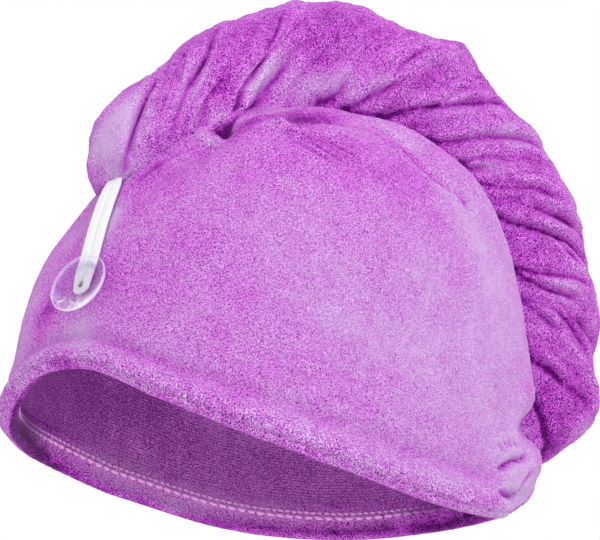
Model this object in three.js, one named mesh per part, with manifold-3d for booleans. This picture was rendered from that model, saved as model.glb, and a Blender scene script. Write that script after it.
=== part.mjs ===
// Hair towel: a plush wrap cap with its long tail twisted up over the crown and held at the
// nape by an elastic loop on a clear button. Millimetres, +X forehead, +Y wearer's left,
// +Z crown, origin at the centre of the head opening.
import * as THREE from 'three';
import { mergeVertices } from 'three/addons/utils/BufferGeometryUtils.js';
import Module from 'manifold-3d';

const wasm = await Module();
wasm.setup();

// Driving dimensions.
const CAP = {
  centreX: -17.5,     // widest section of the cap, behind the head's middle
  front: 125.8,       // widest section to forehead
  back: 74.0,         // widest section to nape
  half: 78.4,         // half width over the ears
  height: 134.5,      // rim plane to crown
  crownShift: 15.3,   // crown lies forward of the widest section
  fullFront: 2.05,    // roundness of the profile at the forehead, sides and nape
  fullSide: 3.3,
  fullBack: 2.5,
  planFront: 2.18,    // roundness of the opening
  planBack: 1.95,
};
const WALL = 3.0;           // plush cloth
const HEM_WALL = 5.4;       // cloth turned in and sewn
const HEM_WIDTH = 11.5;
const CAP_AROUND = 60;
const TAIL_AROUND = 30;
const SEAT = 0.35;          // clearance between pieces that rest on each other

const BUTTON_RADIUS = 12.4;
const BUTTON_THICK = 3.4;
const BUTTON_STANDOFF = 3.6;
const SHANK_RADIUS = 1.1;
const BAND_WIDTH = 3.9;     // one strand of the elastic
const BAND_THICK = 1.3;

// Height of the rim edge every 22.5 degrees round from the forehead: lifted at the nape,
// lowest in front of the wearer's right ear.
const RIM_HEIGHTS = [
  6.9, 3.7, -1.6, -3.4, 0.3, 3.2, 3.0, 3.2, 13.9, 15.1, 6.9, -0.9, -6.4, -10.5, -5.7, 7.3,
];

function rimHeight(phi) {
  const t = (THREE.MathUtils.euclideanModulo(phi, 2 * Math.PI) / (2 * Math.PI)) * 16;
  const i = Math.floor(t);
  const f = t - i;
  const [a, b, c, d] = [15, 0, 1, 2].map((k) => RIM_HEIGHTS[(i + k) % 16]);
  return b + 0.5 * f * (c - a + f * (2 * a - 5 * b + 4 * c - d + f * (3 * (b - c) + d - a)));
}

// Folds, bulges and dents of the cap.
// columns: x, y, z of the middle; direction of the long axis; half length; half width; height
const CAP_FOLDS = [
  [-43, -43, 114, 0.8, -0.2, 0.5, 15, 5, 3.2],      // crown ridge, rear run
  [-31, -52, 113, 0.7, -0.6, -0.4, 12, 5, 2.4],     // crown ridge, front run
  [-54, -37, 107, 0.6, -0.1, 0.7, 8, 5, -5.0],      // pocket under the tail
  [-22, -50, 120, 1.0, -0.2, 0.1, 20, 7, -3.0],     // hollow behind the ridge
  [-84, 22, 62, 0.1, 0.3, 1.0, 26, 22, 2.2],        // slack over the nape
  [-93, 6, 30, 0.0, 1.0, 0.2, 26, 14, 1.0],
  [83, -48, 14, 0.5, 0.5, 0.7, 20, 17, 5.0],        // full lobe at the temple
  [71, -59, 14, 0.8, 0.5, 0.4, 9, 3.2, -1.8],       // creases pressed into the lobe
  [79, -54, 4, 0.8, 0.5, 0.3, 12, 3.2, -1.2],
  [34, -56, 108, 0.5, -0.3, -0.9, 34, 8, 1.0],      // long soft waves beside the tail
  [45, -58, 92, 0.4, -0.3, -0.9, 30, 7, -1.0],
  [-66, -30, 88, 0.5, -0.5, 0.7, 22, 7, -1.3],      // drag lines from the button
  [-74, -36, 60, 0.5, -0.6, 0.6, 24, 8, 1.0],
  [-10, -74, 60, 0.9, 0.0, 0.3, 45, 16, 0.8],
  [20, 74, 70, 0.9, 0.0, 0.5, 42, 13, 1.4],         // folds on the far side
  [-30, 72, 48, 0.9, 0.2, -0.3, 40, 10, -1.3],
  [30, 70, 30, 0.9, -0.3, 0.2, 36, 10, 1.2],
];

// Cap surface.
function signedPower(value, power) {
  return Math.sign(value) * Math.abs(value) ** power;
}

function plainCap(phi, zeta, off) {
  const c = Math.cos(phi);
  const s = Math.sin(phi);
  const n = CAP.fullFront * Math.max(c, 0) ** 2 + CAP.fullBack * Math.max(-c, 0) ** 2
    + CAP.fullSide * s * s;
  const rho = Math.max(0, 1 - zeta ** n) ** (1 / n);
  const power = 2 / (c > 0 ? CAP.planFront : CAP.planBack);
  const reach = (c > 0 ? CAP.front : CAP.back) + off;
  return new THREE.Vector3(
    CAP.centreX + CAP.crownShift * zeta ** 1.5 + reach * signedPower(c, power) * rho,
    (CAP.half + off) * signedPower(s, power) * rho,
    (CAP.height + off) * zeta + rimHeight(phi) * (1 - zeta ** (n / 2)) ** 1.5,
  );
}

function foldHeight(point) {
  let sum = 0;
  for (const [x, y, z, dx, dy, dz, length, width, height] of CAP_FOLDS) {
    const rel = point.clone().sub(new THREE.Vector3(x, y, z));
    const axis = new THREE.Vector3(dx, dy, dz).normalize();
    const along = rel.dot(axis);
    const across2 = Math.max(0, rel.lengthSq() - along * along);
    sum += height * Math.exp(-((along / length) ** 2) - across2 / (width * width));
  }
  return sum;
}

// Soft roll along the rim with a shallow valley above the sewn hem.
function hemHeight(aboveRim) {
  const roll = 0.9 * Math.exp(-(((aboveRim - 5) / 4) ** 2));
  const valley = -1.3 * Math.exp(-(((aboveRim - HEM_WIDTH) / 3.2) ** 2));
  return roll + valley;
}

function capPoint(phi, zeta, off, folds = 1, hem = 1) {
  const base = plainCap(phi, zeta, 0);
  const outward = plainCap(phi, zeta, 1).sub(base).normalize();
  const above = base.z - rimHeight(phi) * (1 - zeta) ** 1.5;
  const lift = folds * foldHeight(base) + hem * hemHeight(above);
  return plainCap(phi, zeta, off).addScaledVector(outward, lift);
}

function capNormal(phi, zeta) {
  const e = 0.004;
  const a = capPoint(phi + e, zeta, 0).sub(capPoint(phi - e, zeta, 0));
  const b = capPoint(phi, zeta + e, 0).sub(capPoint(phi, zeta - e, 0));
  return a.cross(b).normalize();
}

// Mesh helpers.
// Rings of equal length, closed at both ends by a pole point.
function ringBody(rings, firstPole, lastPole) {
  const count = rings[0].length;
  const points = [firstPole, ...rings.flat(), lastPole];
  const index = [];
  for (let j = 0; j < count; j += 1) {
    index.push(0, 1 + (j + 1) % count, 1 + j);
  }
  for (let i = 0; i < rings.length - 1; i += 1) {
    for (let j = 0; j < count; j += 1) {
      const a = 1 + i * count + j;
      const b = 1 + i * count + (j + 1) % count;
      index.push(a, b, b + count, a, b + count, a + count);
    }
  }
  const start = 1 + (rings.length - 1) * count;
  const last = points.length - 1;
  for (let j = 0; j < count; j += 1) {
    index.push(start + j, start + (j + 1) % count, last);
  }
  return bodyFrom(points, index);
}

function bodyFrom(points, index) {
  const geometry = new THREE.BufferGeometry();
  const flat = points.flatMap((p) => [p.x, p.y, p.z]);
  geometry.setAttribute('position', new THREE.Float32BufferAttribute(flat, 3));
  geometry.setIndex(index);
  return facingOut(geometry);
}

function signedVolume(geometry) {
  const p = geometry.attributes.position;
  const index = geometry.index;
  const a = new THREE.Vector3();
  const b = new THREE.Vector3();
  const c = new THREE.Vector3();
  let sum = 0;
  for (let i = 0; i < index.count; i += 3) {
    a.fromBufferAttribute(p, index.getX(i));
    b.fromBufferAttribute(p, index.getX(i + 1));
    c.fromBufferAttribute(p, index.getX(i + 2));
    sum += a.dot(b.cross(c));
  }
  return sum / 6;
}

function facingOut(geometry) {
  if (signedVolume(geometry) < 0) {
    const index = Array.from(geometry.index.array);
    for (let i = 0; i < index.length; i += 3) {
      [index[i + 1], index[i + 2]] = [index[i + 2], index[i + 1]];
    }
    geometry.setIndex(index);
  }
  return geometry;
}

function toSolid(geometry) {
  const clean = geometry.clone();
  clean.deleteAttribute('normal');
  clean.deleteAttribute('uv');
  const merged = facingOut(mergeVertices(clean, 1e-4));
  return new wasm.Manifold(new wasm.Mesh({
    numProp: 3,
    vertProperties: new Float32Array(merged.attributes.position.array),
    triVerts: new Uint32Array(merged.index.array),
  }));
}

function toGeometry(solid) {
  const mesh = solid.getMesh();
  const geometry = new THREE.BufferGeometry();
  geometry.setAttribute('position', new THREE.BufferAttribute(mesh.vertProperties, 3));
  geometry.setIndex(new THREE.BufferAttribute(mesh.triVerts, 1));
  return geometry;
}

// Cap.
function capRing(zeta, off, folds, hem) {
  return Array.from({ length: CAP_AROUND }, (_, j) => (
    capPoint((j / CAP_AROUND) * 2 * Math.PI, zeta, off, folds, hem)));
}

// The rim edge turns under in a half round between the outer and inner faces.
function rollRing(angle) {
  return Array.from({ length: CAP_AROUND }, (_, j) => {
    const phi = (j / CAP_AROUND) * 2 * Math.PI;
    const off = -HEM_WALL / 2 + (HEM_WALL / 2) * Math.cos(angle);
    const point = capPoint(phi, 0, off, 1, 0);
    const lift = 2.6 * (1 - Math.sin(angle));
    return point.setZ(point.z + lift);
  });
}

function crownLevels(steps, first) {
  const from = Math.asin(first) / (Math.PI / 2);
  return Array.from({ length: steps }, (_, i) => {
    const t = 1 - (1 - i / steps) ** 1.25;
    return Math.sin((from + (1 - from) * t) * (Math.PI / 2));
  });
}

const OUTER_LEVELS = [0.04, 0.065, 0.085, 0.11, ...crownLevels(17, 0.145)];

function buildCap() {
  const outer = OUTER_LEVELS;
  const inner = [0.03, 0.075, 0.09, 0.105, ...crownLevels(10, 0.16)];
  const rings = [];
  for (const zeta of [...outer].reverse()) {
    rings.push(capRing(zeta, 0, 1, 1));
  }
  for (const angle of [0.0, 0.25, 0.5, 0.75, 1.0]) {
    rings.push(rollRing(angle * Math.PI));
  }
  for (const zeta of inner) {
    const wall = zeta < 0.095 ? HEM_WALL : WALL;
    rings.push(capRing(zeta, -wall, 0.8, 0));
  }
  const top = capPoint(0, 1, 0, 1, 0);
  const under = capPoint(0, 1, -WALL, 0.8, 0);
  return ringBody(rings, top, under);
}

// Outer face of the cap grown by a clearance and closed flat below.
function capBlocker(grow) {
  const rings = [];
  for (const zeta of [...OUTER_LEVELS].reverse()) {
    rings.push(capRing(zeta, grow, 1, 1));
  }
  rings.push(capRing(0, grow, 1, 0));
  const floor = new THREE.Vector3(CAP.centreX, 0, 0);
  return ringBody(rings, capPoint(0, 1, grow, 1, 0), floor);
}

// Tail.
// Path of the twisted tail, forehead to nape.
// columns: x, z, y, outward radius, inward radius, sideways radius
const TAIL_PATH = [
  [113, 34, -4, 7, 10, 9],
  [121, 42, -3, 13, 20, 15],
  [126, 56, -1, 18, 28, 19],
  [127, 72, 0, 21, 36, 22],
  [122, 92, 0, 21.5, 42, 23],
  [113, 114, 0, 21, 46, 23],
  [100.5, 132.5, 0, 20.8, 48, 23],
  [85.5, 149, 0, 21.3, 50, 23],
  [67, 161, 0, 21.3, 50, 23],
  [45, 167.5, 0, 21, 46, 23],
  [20, 167.5, 0, 21.5, 42, 23],
  [-1, 161.5, 0, 21.5, 36, 23],
  [-22, 149.5, 0, 21, 30, 22],
  [-39, 135, 0, 20, 26, 21],
  [-54, 121, 0, 18, 22, 20],
  [-66, 108, 0, 14, 18, 18],
  [-73, 96, -1, 9, 10, 14],
  [-75.5, 89.5, -1, 4, 4, 8],
];

// Creases between the twisted folds: distance along the path where each one crosses the
// tail 40, 70, 100 and 150 degrees round from the underside, and its depth.
const TAIL_CREASES = [
  [20, 11, 8, 6, 2.4],
  [39, 34, 27, 19, 1.5],
  [67, 55, 44, 31, 2.3],
  [79, 71, 61, 46, 1.1],
  [86, 78, 72, 59, 2.3],
  [107, 98, 87, 71, 2.6],
  [114, 105, 97, 84, 1.0],
  [126, 115, 106, 94, 2.6],
  [139, 129, 118, 106, 1.2],
  [156, 142, 131, 118, 2.6],
  [185, 162, 146, 131, 2.7],
  [212, 184, 168, 151, 2.4],
  [219, 200, 183, 167, 1.2],
  [228, 209, 199, 185, 2.2],
  [290, 276, 228, 207, 3.1],
  [316, 298, 256, 233, 2.0],
  [324, 317, 296, 266, 2.0],
  [330, 328, 321, 295, 1.6],
];

// Swell (+) or slack (-) of the folds over the outer side of the tail.
// columns: distance along the path where the fold crosses 150 degrees round; height
const TAIL_SWELL = [
  [0, -3.0], [12, -4.0], [20, -1.4], [28, 1.6], [36, -3.1], [44, -4.8], [50, -2.7],
  [58, 0.5], [66, 0.3], [76, -0.6], [86, 1.0], [96, 2.9], [106, 2.3], [116, 1.0],
  [126, 1.1], [136, -0.9], [143, -2.3], [150, -0.7], [157, 0.6], [164, 3.0], [172, -0.3],
  [180, -1.0], [188, -1.3], [196, -1.3], [204, 1.3], [212, 1.9], [222, 0.5], [230, 2.1],
  [238, 1.0], [248, -0.1], [256, 0.2], [264, 1.6], [272, 2.0], [280, 0.5], [288, -1.6],
  [296, -1.4], [304, 0.3], [311, 2.1], [318, 1.6], [326, -2.5], [334, -2.0],
];
const SWELL_AT = TAIL_SWELL.map((r) => r[0]);
const SWELL_HEIGHT = TAIL_SWELL.map((r) => r[1]);

const pathPoints = TAIL_PATH.map(([x, z, y]) => new THREE.Vector3(x, y, z));
const pathCurve = new THREE.CatmullRomCurve3(pathPoints, false, 'centripetal');
pathCurve.arcLengthDivisions = 600;
const PATH_LENGTH = pathCurve.getLength();
const pathStations = pathPoints.map((_, i) => {
  const lengths = pathCurve.getLengths(600);
  return lengths[Math.round((i / (pathPoints.length - 1)) * 600)];
});

function lerpTable(xs, ys, x) {
  if (x <= xs[0]) {
    return ys[0];
  }
  for (let i = 1; i < xs.length; i += 1) {
    if (x <= xs[i]) {
      const t = (x - xs[i - 1]) / (xs[i] - xs[i - 1]);
      const ease = t * t * (3 - 2 * t);
      return ys[i - 1] + (ys[i] - ys[i - 1]) * (0.5 * t + 0.5 * ease);
    }
  }
  return ys[ys.length - 1];
}

// Each crease keeps falling round the far side and climbs back underneath, where the tail
// lies on the cap.
const KNOTS = [-90, -28, 40, 70, 100, 150, 240, 332, 400, 430];

function creaseKnots([a, b, c, d]) {
  const drop = (58 * d) / (d + 60);
  const e = d - drop * 0.55;
  const f = d - drop;
  return [e + (f - e) * 0.33, f, a, b, c, d, e, f, a, b];
}

const ROWS = [
  { knots: KNOTS.map(() => 0), depth: 0 },
  ...TAIL_CREASES.map((row) => ({ knots: creaseKnots(row), depth: row[4] })),
  { knots: KNOTS.map(() => PATH_LENGTH), depth: 0 },
];

function linear(xs, ys, x) {
  for (let i = 1; i < xs.length; i += 1) {
    if (x <= xs[i]) {
      return ys[i - 1] + ((ys[i] - ys[i - 1]) * (x - xs[i - 1])) / (xs[i] - xs[i - 1]);
    }
  }
  return ys[ys.length - 1];
}

function creaseAt(row, degrees) {
  const at = (x) => linear(KNOTS, ROWS[row].knots, x);
  return 0.25 * at(degrees - 14) + 0.5 * at(degrees) + 0.25 * at(degrees + 14);
}

function tailPoint(row, u, degrees) {
  const low = creaseAt(row, degrees);
  const high = creaseAt(row + 1, degrees);
  const gap = Math.max(0.5, high - low);
  const s = Math.min(Math.max(low + u * (high - low), 0), PATH_LENGTH);
  const centre = pathCurve.getPointAt(s / PATH_LENGTH);
  const tangent = pathCurve.getTangentAt(s / PATH_LENGTH);
  const outward = new THREE.Vector3(tangent.z, 0, -tangent.x).normalize();
  const column = (k) => lerpTable(pathStations, TAIL_PATH.map((r) => r[k]), s);
  const angle = (degrees * Math.PI) / 180;
  const a = -Math.cos(angle);
  const b = -Math.sin(angle);
  const radial = (a > 0 ? column(3) : column(4));
  const groove = ROWS[row].depth * Math.exp((-u * gap) / 3.0)
    + ROWS[row + 1].depth * Math.exp((-(1 - u) * gap) / 1.8);
  const pillow = 0.7 * Math.sin(Math.PI * u) * Math.min(1, gap / 14);
  const fold = creaseAt(row, 150) * (1 - u) + creaseAt(row + 1, 150) * u;
  const outerSide = THREE.MathUtils.smoothstep(degrees, 60, 115)
    * (1 - THREE.MathUtils.smoothstep(degrees, 245, 300));
  const swell = linear(SWELL_AT, SWELL_HEIGHT, fold) * outerSide;
  const scale = 1 + (pillow + swell - groove) / 22;
  return centre.clone()
    .addScaledVector(outward, a * radial * scale)
    .add(new THREE.Vector3(0, b * column(5) * scale, 0));
}

// Where the rings lie between two creases, as parts of the gap: close to each crease and mid-fold.
function stepsAcross(gap) {
  if (gap < 9) {
    return [0, 0.5];
  }
  return gap < 22 ? [0, 0.2, 0.55, 0.86] : [0, 0.12, 0.32, 0.6, 0.9];
}

function buildTail() {
  const rings = [];
  const ring = (row, u) => Array.from({ length: TAIL_AROUND }, (_, j) => (
    tailPoint(row, u, (j / TAIL_AROUND) * 360)));
  for (let row = 0; row < ROWS.length - 1; row += 1) {
    const gap = creaseAt(row + 1, 100) - creaseAt(row, 100);
    for (const u of stepsAcross(gap)) {
      rings.push(ring(row, u));
    }
  }
  rings.push(ring(ROWS.length - 2, 1));
  const start = pathCurve.getPointAt(0).addScaledVector(pathCurve.getTangentAt(0), -4);
  const end = pathCurve.getPointAt(1).addScaledVector(pathCurve.getTangentAt(1), 2.5);
  return ringBody(rings, start, end);
}

// Elastic loop and button.
const BUTTON_PHI = THREE.MathUtils.degToRad(198.4);
const BUTTON_ZETA = 0.228;
const BUTTON_FACING = new THREE.Vector3(-0.895, -0.37, 0.25);   // tipped by the elastic's pull
const buttonSeat = capPoint(BUTTON_PHI, BUTTON_ZETA, 0);
const buttonAxis = BUTTON_FACING.clone().normalize();

// Line of the loop over the cap, from just below the button to inside the tail's end.
// columns: degrees round the cap, height as a part of the crown's
const LOOP_LINE = [
  [199.8, 0.175],
  [198.4, 0.228],
  [195.2, 0.40],
  [191.0, 0.55],
  [186.4, 0.66],
  [183.0, 0.735],
];

const loopLine = LOOP_LINE.map(([degrees, zeta]) => {
  const phi = THREE.MathUtils.degToRad(degrees);
  return capPoint(phi, zeta, 0).addScaledVector(capNormal(phi, zeta), SEAT + BAND_THICK / 2);
});
const loopCurve = new THREE.CatmullRomCurve3(loopLine, false, 'centripetal');
loopCurve.arcLengthDivisions = 300;
const LOOP_LENGTH = loopCurve.getLength();
const buttonAlong = loopLine[0].distanceTo(loopLine[1]);

function loopFrame(along) {
  const t = Math.min(Math.max(along / LOOP_LENGTH, 0), 1);
  const point = loopCurve.getPointAt(t);
  const tangent = loopCurve.getTangentAt(t);
  const outward = new THREE.Vector3(point.x + 20, point.y, point.z - 30);
  outward.sub(tangent.clone().multiplyScalar(outward.dot(tangent))).normalize();
  const across = new THREE.Vector3().crossVectors(tangent, outward).normalize();
  return { point, outward, across };
}

function buildLoop(width, thick, topAlong) {
  const side = BAND_WIDTH / 2 + 0.2;
  const bend = SHANK_RADIUS + 0.35 + BAND_WIDTH / 2;
  const plan = [];
  const straight = 13;
  for (let i = 0; i <= straight; i += 1) {
    const t = i / straight;
    const along = topAlong + (buttonAlong + 5 - topAlong) * t;
    plan.push([along, -side - (bend - side) * THREE.MathUtils.smoothstep(t, 0.86, 1)]);
  }
  for (let i = 0; i <= 10; i += 1) {
    const angle = Math.PI * (i / 10);
    plan.push([buttonAlong - bend * Math.sin(angle), -bend * Math.cos(angle)]);
  }
  for (let i = 0; i <= straight; i += 1) {
    const t = 1 - i / straight;
    const along = topAlong + (buttonAlong + 5 - topAlong) * t;
    plan.push([along, side + (bend - side) * THREE.MathUtils.smoothstep(t, 0.86, 1)]);
  }
  const rings = [];
  for (let i = 0; i < plan.length; i += 1) {
    const before = plan[Math.max(0, i - 1)];
    const after = plan[Math.min(plan.length - 1, i + 1)];
    const run = new THREE.Vector2(after[0] - before[0], after[1] - before[1]).normalize();
    const corners = [[-1, -1], [1, -1], [1, 1], [-1, 1]];
    rings.push(corners.map(([w, h]) => {
      const along = plan[i][0] - run.y * w * (width / 2);
      const sideways = plan[i][1] + run.x * w * (width / 2);
      const { point, outward, across } = loopFrame(along);
      const beyond = Math.min(0, along);
      return point.clone().addScaledVector(across, sideways)
        .addScaledVector(outward, h * (thick / 2))
        .addScaledVector(loopCurve.getTangentAt(0), beyond);
    }));
  }
  return stripBody(rings);
}

function stripBody(rings) {
  const points = rings.flat();
  const index = [0, 1, 2, 0, 2, 3];
  for (let i = 0; i < rings.length - 1; i += 1) {
    for (let k = 0; k < 4; k += 1) {
      const a = i * 4 + k;
      const b = i * 4 + (k + 1) % 4;
      index.push(a, a + 4, b + 4, a, b + 4, b);
    }
  }
  const last = (rings.length - 1) * 4;
  index.push(last, last + 2, last + 1, last, last + 3, last + 2);
  return bodyFrom(points, index);
}

function buildButton() {
  const r = BUTTON_RADIUS;
  const t = BUTTON_THICK;
  const profile = [
    [0, 0], [r - 1.6, 0], [r - 0.4, 0.6], [r, t * 0.5], [r - 0.5, t - 0.5], [r - 1.6, t],
    [r - 3.2, t - 0.4], [r - 4.6, t - 1.3], [0, t - 1.3],
  ].map(([x, y]) => new THREE.Vector2(x, y));
  return new THREE.LatheGeometry(profile, 40);
}

function buildShank() {
  const height = BUTTON_STANDOFF - 0.3;
  const profile = [[0, SEAT], [SHANK_RADIUS, SEAT], [SHANK_RADIUS, height], [0, height]]
    .map(([x, y]) => new THREE.Vector2(x, y));
  return new THREE.LatheGeometry(profile, 16);
}

// The pieces.
const plush = new THREE.MeshStandardMaterial({ color: 0xc983d8, roughness: 0.95, metalness: 0 });
const twist = new THREE.MeshStandardMaterial({ color: 0xb75fc6, roughness: 0.95, metalness: 0 });
const elastic = new THREE.MeshStandardMaterial({ color: 0xe9eaf0, roughness: 0.7, metalness: 0 });
const resin = new THREE.MeshStandardMaterial({ color: 0xd3c4e6, roughness: 0.12, metalness: 0 });
const thread = new THREE.MeshStandardMaterial({ color: 0xcf9add, roughness: 0.8, metalness: 0 });

const towel = new THREE.Group();

function add(name, geometry, material) {
  const mesh = new THREE.Mesh(geometry, material);
  mesh.name = name;
  towel.add(mesh);
  return mesh;
}

add('hood', buildCap(), plush);

const loopTop = LOOP_LENGTH - 1;
const loopRoom = toSolid(buildLoop(BAND_WIDTH + 2 * SEAT, BAND_THICK + 2 * SEAT, LOOP_LENGTH));
const capRoom = toSolid(capBlocker(SEAT));
const tailSolid = toSolid(buildTail()).subtract(capRoom).subtract(loopRoom);
add('tail', toGeometry(tailSolid), twist);

const loopSolid = toSolid(buildLoop(BAND_WIDTH, BAND_THICK, loopTop)).subtract(capRoom);
add('elastic_loop', toGeometry(loopSolid), elastic);

function placeOnCap(mesh, along) {
  mesh.position.copy(buttonSeat).addScaledVector(buttonAxis, along);
  mesh.quaternion.setFromUnitVectors(new THREE.Vector3(0, 1, 0), buttonAxis);
}

placeOnCap(add('button', buildButton(), resin), BUTTON_STANDOFF);
placeOnCap(add('button_thread', buildShank(), thread), 0);

export default towel;
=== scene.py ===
import math

import bpy
import numpy as np
from mathutils import Matrix, Vector
from mathutils.bvhtree import BVHTree


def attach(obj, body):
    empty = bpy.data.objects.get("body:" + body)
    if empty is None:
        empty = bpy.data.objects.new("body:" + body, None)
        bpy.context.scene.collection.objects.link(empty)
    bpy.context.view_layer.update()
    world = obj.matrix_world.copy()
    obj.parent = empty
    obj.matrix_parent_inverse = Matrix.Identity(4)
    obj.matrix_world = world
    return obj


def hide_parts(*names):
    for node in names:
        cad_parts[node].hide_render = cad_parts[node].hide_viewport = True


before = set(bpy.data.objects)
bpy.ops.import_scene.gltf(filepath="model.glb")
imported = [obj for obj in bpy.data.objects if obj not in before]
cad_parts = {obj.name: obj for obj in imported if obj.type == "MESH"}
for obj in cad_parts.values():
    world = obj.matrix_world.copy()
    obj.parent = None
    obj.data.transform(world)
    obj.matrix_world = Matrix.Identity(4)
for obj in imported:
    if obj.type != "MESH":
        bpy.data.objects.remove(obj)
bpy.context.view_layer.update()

# All shape tables are in millimetres, in the part's frame: +X forehead, +Y wearer's left,
# +Z crown, origin at the centre of the head opening.
MM = 0.001

# Camera: azimuth, elevation and roll of the view, its target, distance and focal length.
# Floor: half its width, and its height.
CAM_AZ, CAM_EL, CAM_ROLL = math.radians(-30.0), math.radians(-17.64), math.radians(7.31)
CAM_TARGET = np.array([10.14, 0.0, 81.72])
CAM_DIST = 900.0
CAM_LENS = 145.67
FLOOR_HALF, FLOOR_LEVEL = 4000, -560

# Cap: its middle, its reach to the front, the back and the sides, its height and how far the
# crown leans forward; then how full it is in profile and in plan.
CENTRE_X, FRONT, BACK, HALF, HEIGHT, CROWN_SHIFT = -17.5, 125.8, 74.0, 78.4, 134.5, 15.3
FULL_FRONT, FULL_SIDE, FULL_BACK = 2.05, 3.3, 2.5
PLAN_FRONT, PLAN_BACK = 2.18, 1.95
WALL, HEM_WALL, HEM_WIDTH = 3.0, 5.4, 11.5
SEAT = 0.35  # gap under the elastic and the button's thread
GRAIN_SIZE, GRAIN_HEIGHT = 1.6, 0.34  # of the cloth's own unevenness
# The darkening is painted shade of creases and hollows; below zero it is painted highlight.
DARK_RANGE = 2.0  # strongest darkening that the colour layer holds

# Height of the rim edge every 22.5 degrees round from the forehead.
RIM_HEIGHTS = np.array([6.9, 3.7, -1.6, -3.9, -0.3, 2.7, 3.0, 3.2,
                        13.9, 15.0, 4.8, -3.6, -8.0, -10.5, -5.5, 7.3])

# Folds of the cap.
# columns: x, y, z of the middle; direction of the long axis; half length; half width; height
CAP_FOLDS = [
    (-43, -43, 114, 8, -2, 5, 15, 5, 3.2),
    (-31, -52, 113, 7, -6, -4, 12, 5, 2.4),
    (-54, -37, 107, 6, -1, 7, 8, 5, -5),
    (-22, -50, 120, 10, -2, 1, 20, 7, -3),
    (-84, 22, 62, 1, 3, 10, 26, 22, 2.2),
    (-93, 6, 30, 0, 5, 1, 26, 14, 1),
    (83, -48, 14, 5, 5, 7, 20, 17, 5),
    (71, -59, 14, 8, 5, 4, 9, 3.2, -1.8),
    (79, -54, 4, 8, 5, 3, 12, 3.2, -1.2),
    (34, -56, 108, 5, -3, -9, 34, 8, 1),
    (45, -58, 92, 4, -3, -9, 30, 7, -1),
    (-66, -30, 88, 5, -5, 7, 22, 7, -1.3),
    (-74, -36, 60, 5, -6, 6, 24, 8, 1),
    (-10, -74, 60, 3, 0, 1, 45, 16, 0.8),
    (20, 74, 70, 9, 0, 5, 42, 13, 1.4),
    (-30, 72, 48, 9, 2, -3, 40, 10, -1.3),
    (30, 70, 30, 9, -3, 2, 36, 10, 1.2),
    (47, -50, 112, 79, -6, -60, 32, 13, 6.2),
    (14, -45, 125, 19, 0, -6, 13, 8, 2.2),
]

# Smaller bulges and dents that only the cloth has, same columns.
CAP_DENTS = [
    (-48, -35, 109, 5, -4, -6, 7, 4.5, -3.5),
    (82, -51, 42, 1, 2, 10, 11, 9, 2.4),
    (90, -40, 34.5, 24, 41, 15, 24, 6, -9),
    (86, -50, 16, 5, 6, 5, 14, 10, 1.6),
    (91, -44, 0, 24, 41, 15, 18, 8.5, -6.5),
    (62, -62, 30, 6, 2, 7, 22, 9, -0.7),
    (-80, 3, 78, 2, -5, 8, 14, 12, -3),
    (-75, 14, 83, 3, 1, 9, 12, 10, -1.6),
    (-90, 16, 27, 1, 10, 2, 14, 6, -1.4),
    (-90, 12, 41, 0, 5, 1, 10, 6, 1.3),
    (89, -49, 28, 1, 1, 3, 5, 5, 1.6),
    (84, -46, 63, 1, 2, 10, 9, 7, -1.2),
    (87, -48, 1, 5, 5, 3, 8, 6, 1.8),
    (86, -54, 4, 3, 3, 10, 11, 9, -3.2),
    (-89, 21, 14, 0, 3, 10, 10, 10, 1.2),
    (-73, 45, 0, 1, 1, 0, 20, 8, -1.5),
    (-32, -33, 119, 16, 0, 9, 20, 10, -3.6),
    (-54, -32, 107, 3, 0, 4, 14, 9, -3),
    (-67, -28, 93, 4, 0, 9, 12, 8, -2.2),
]
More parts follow.
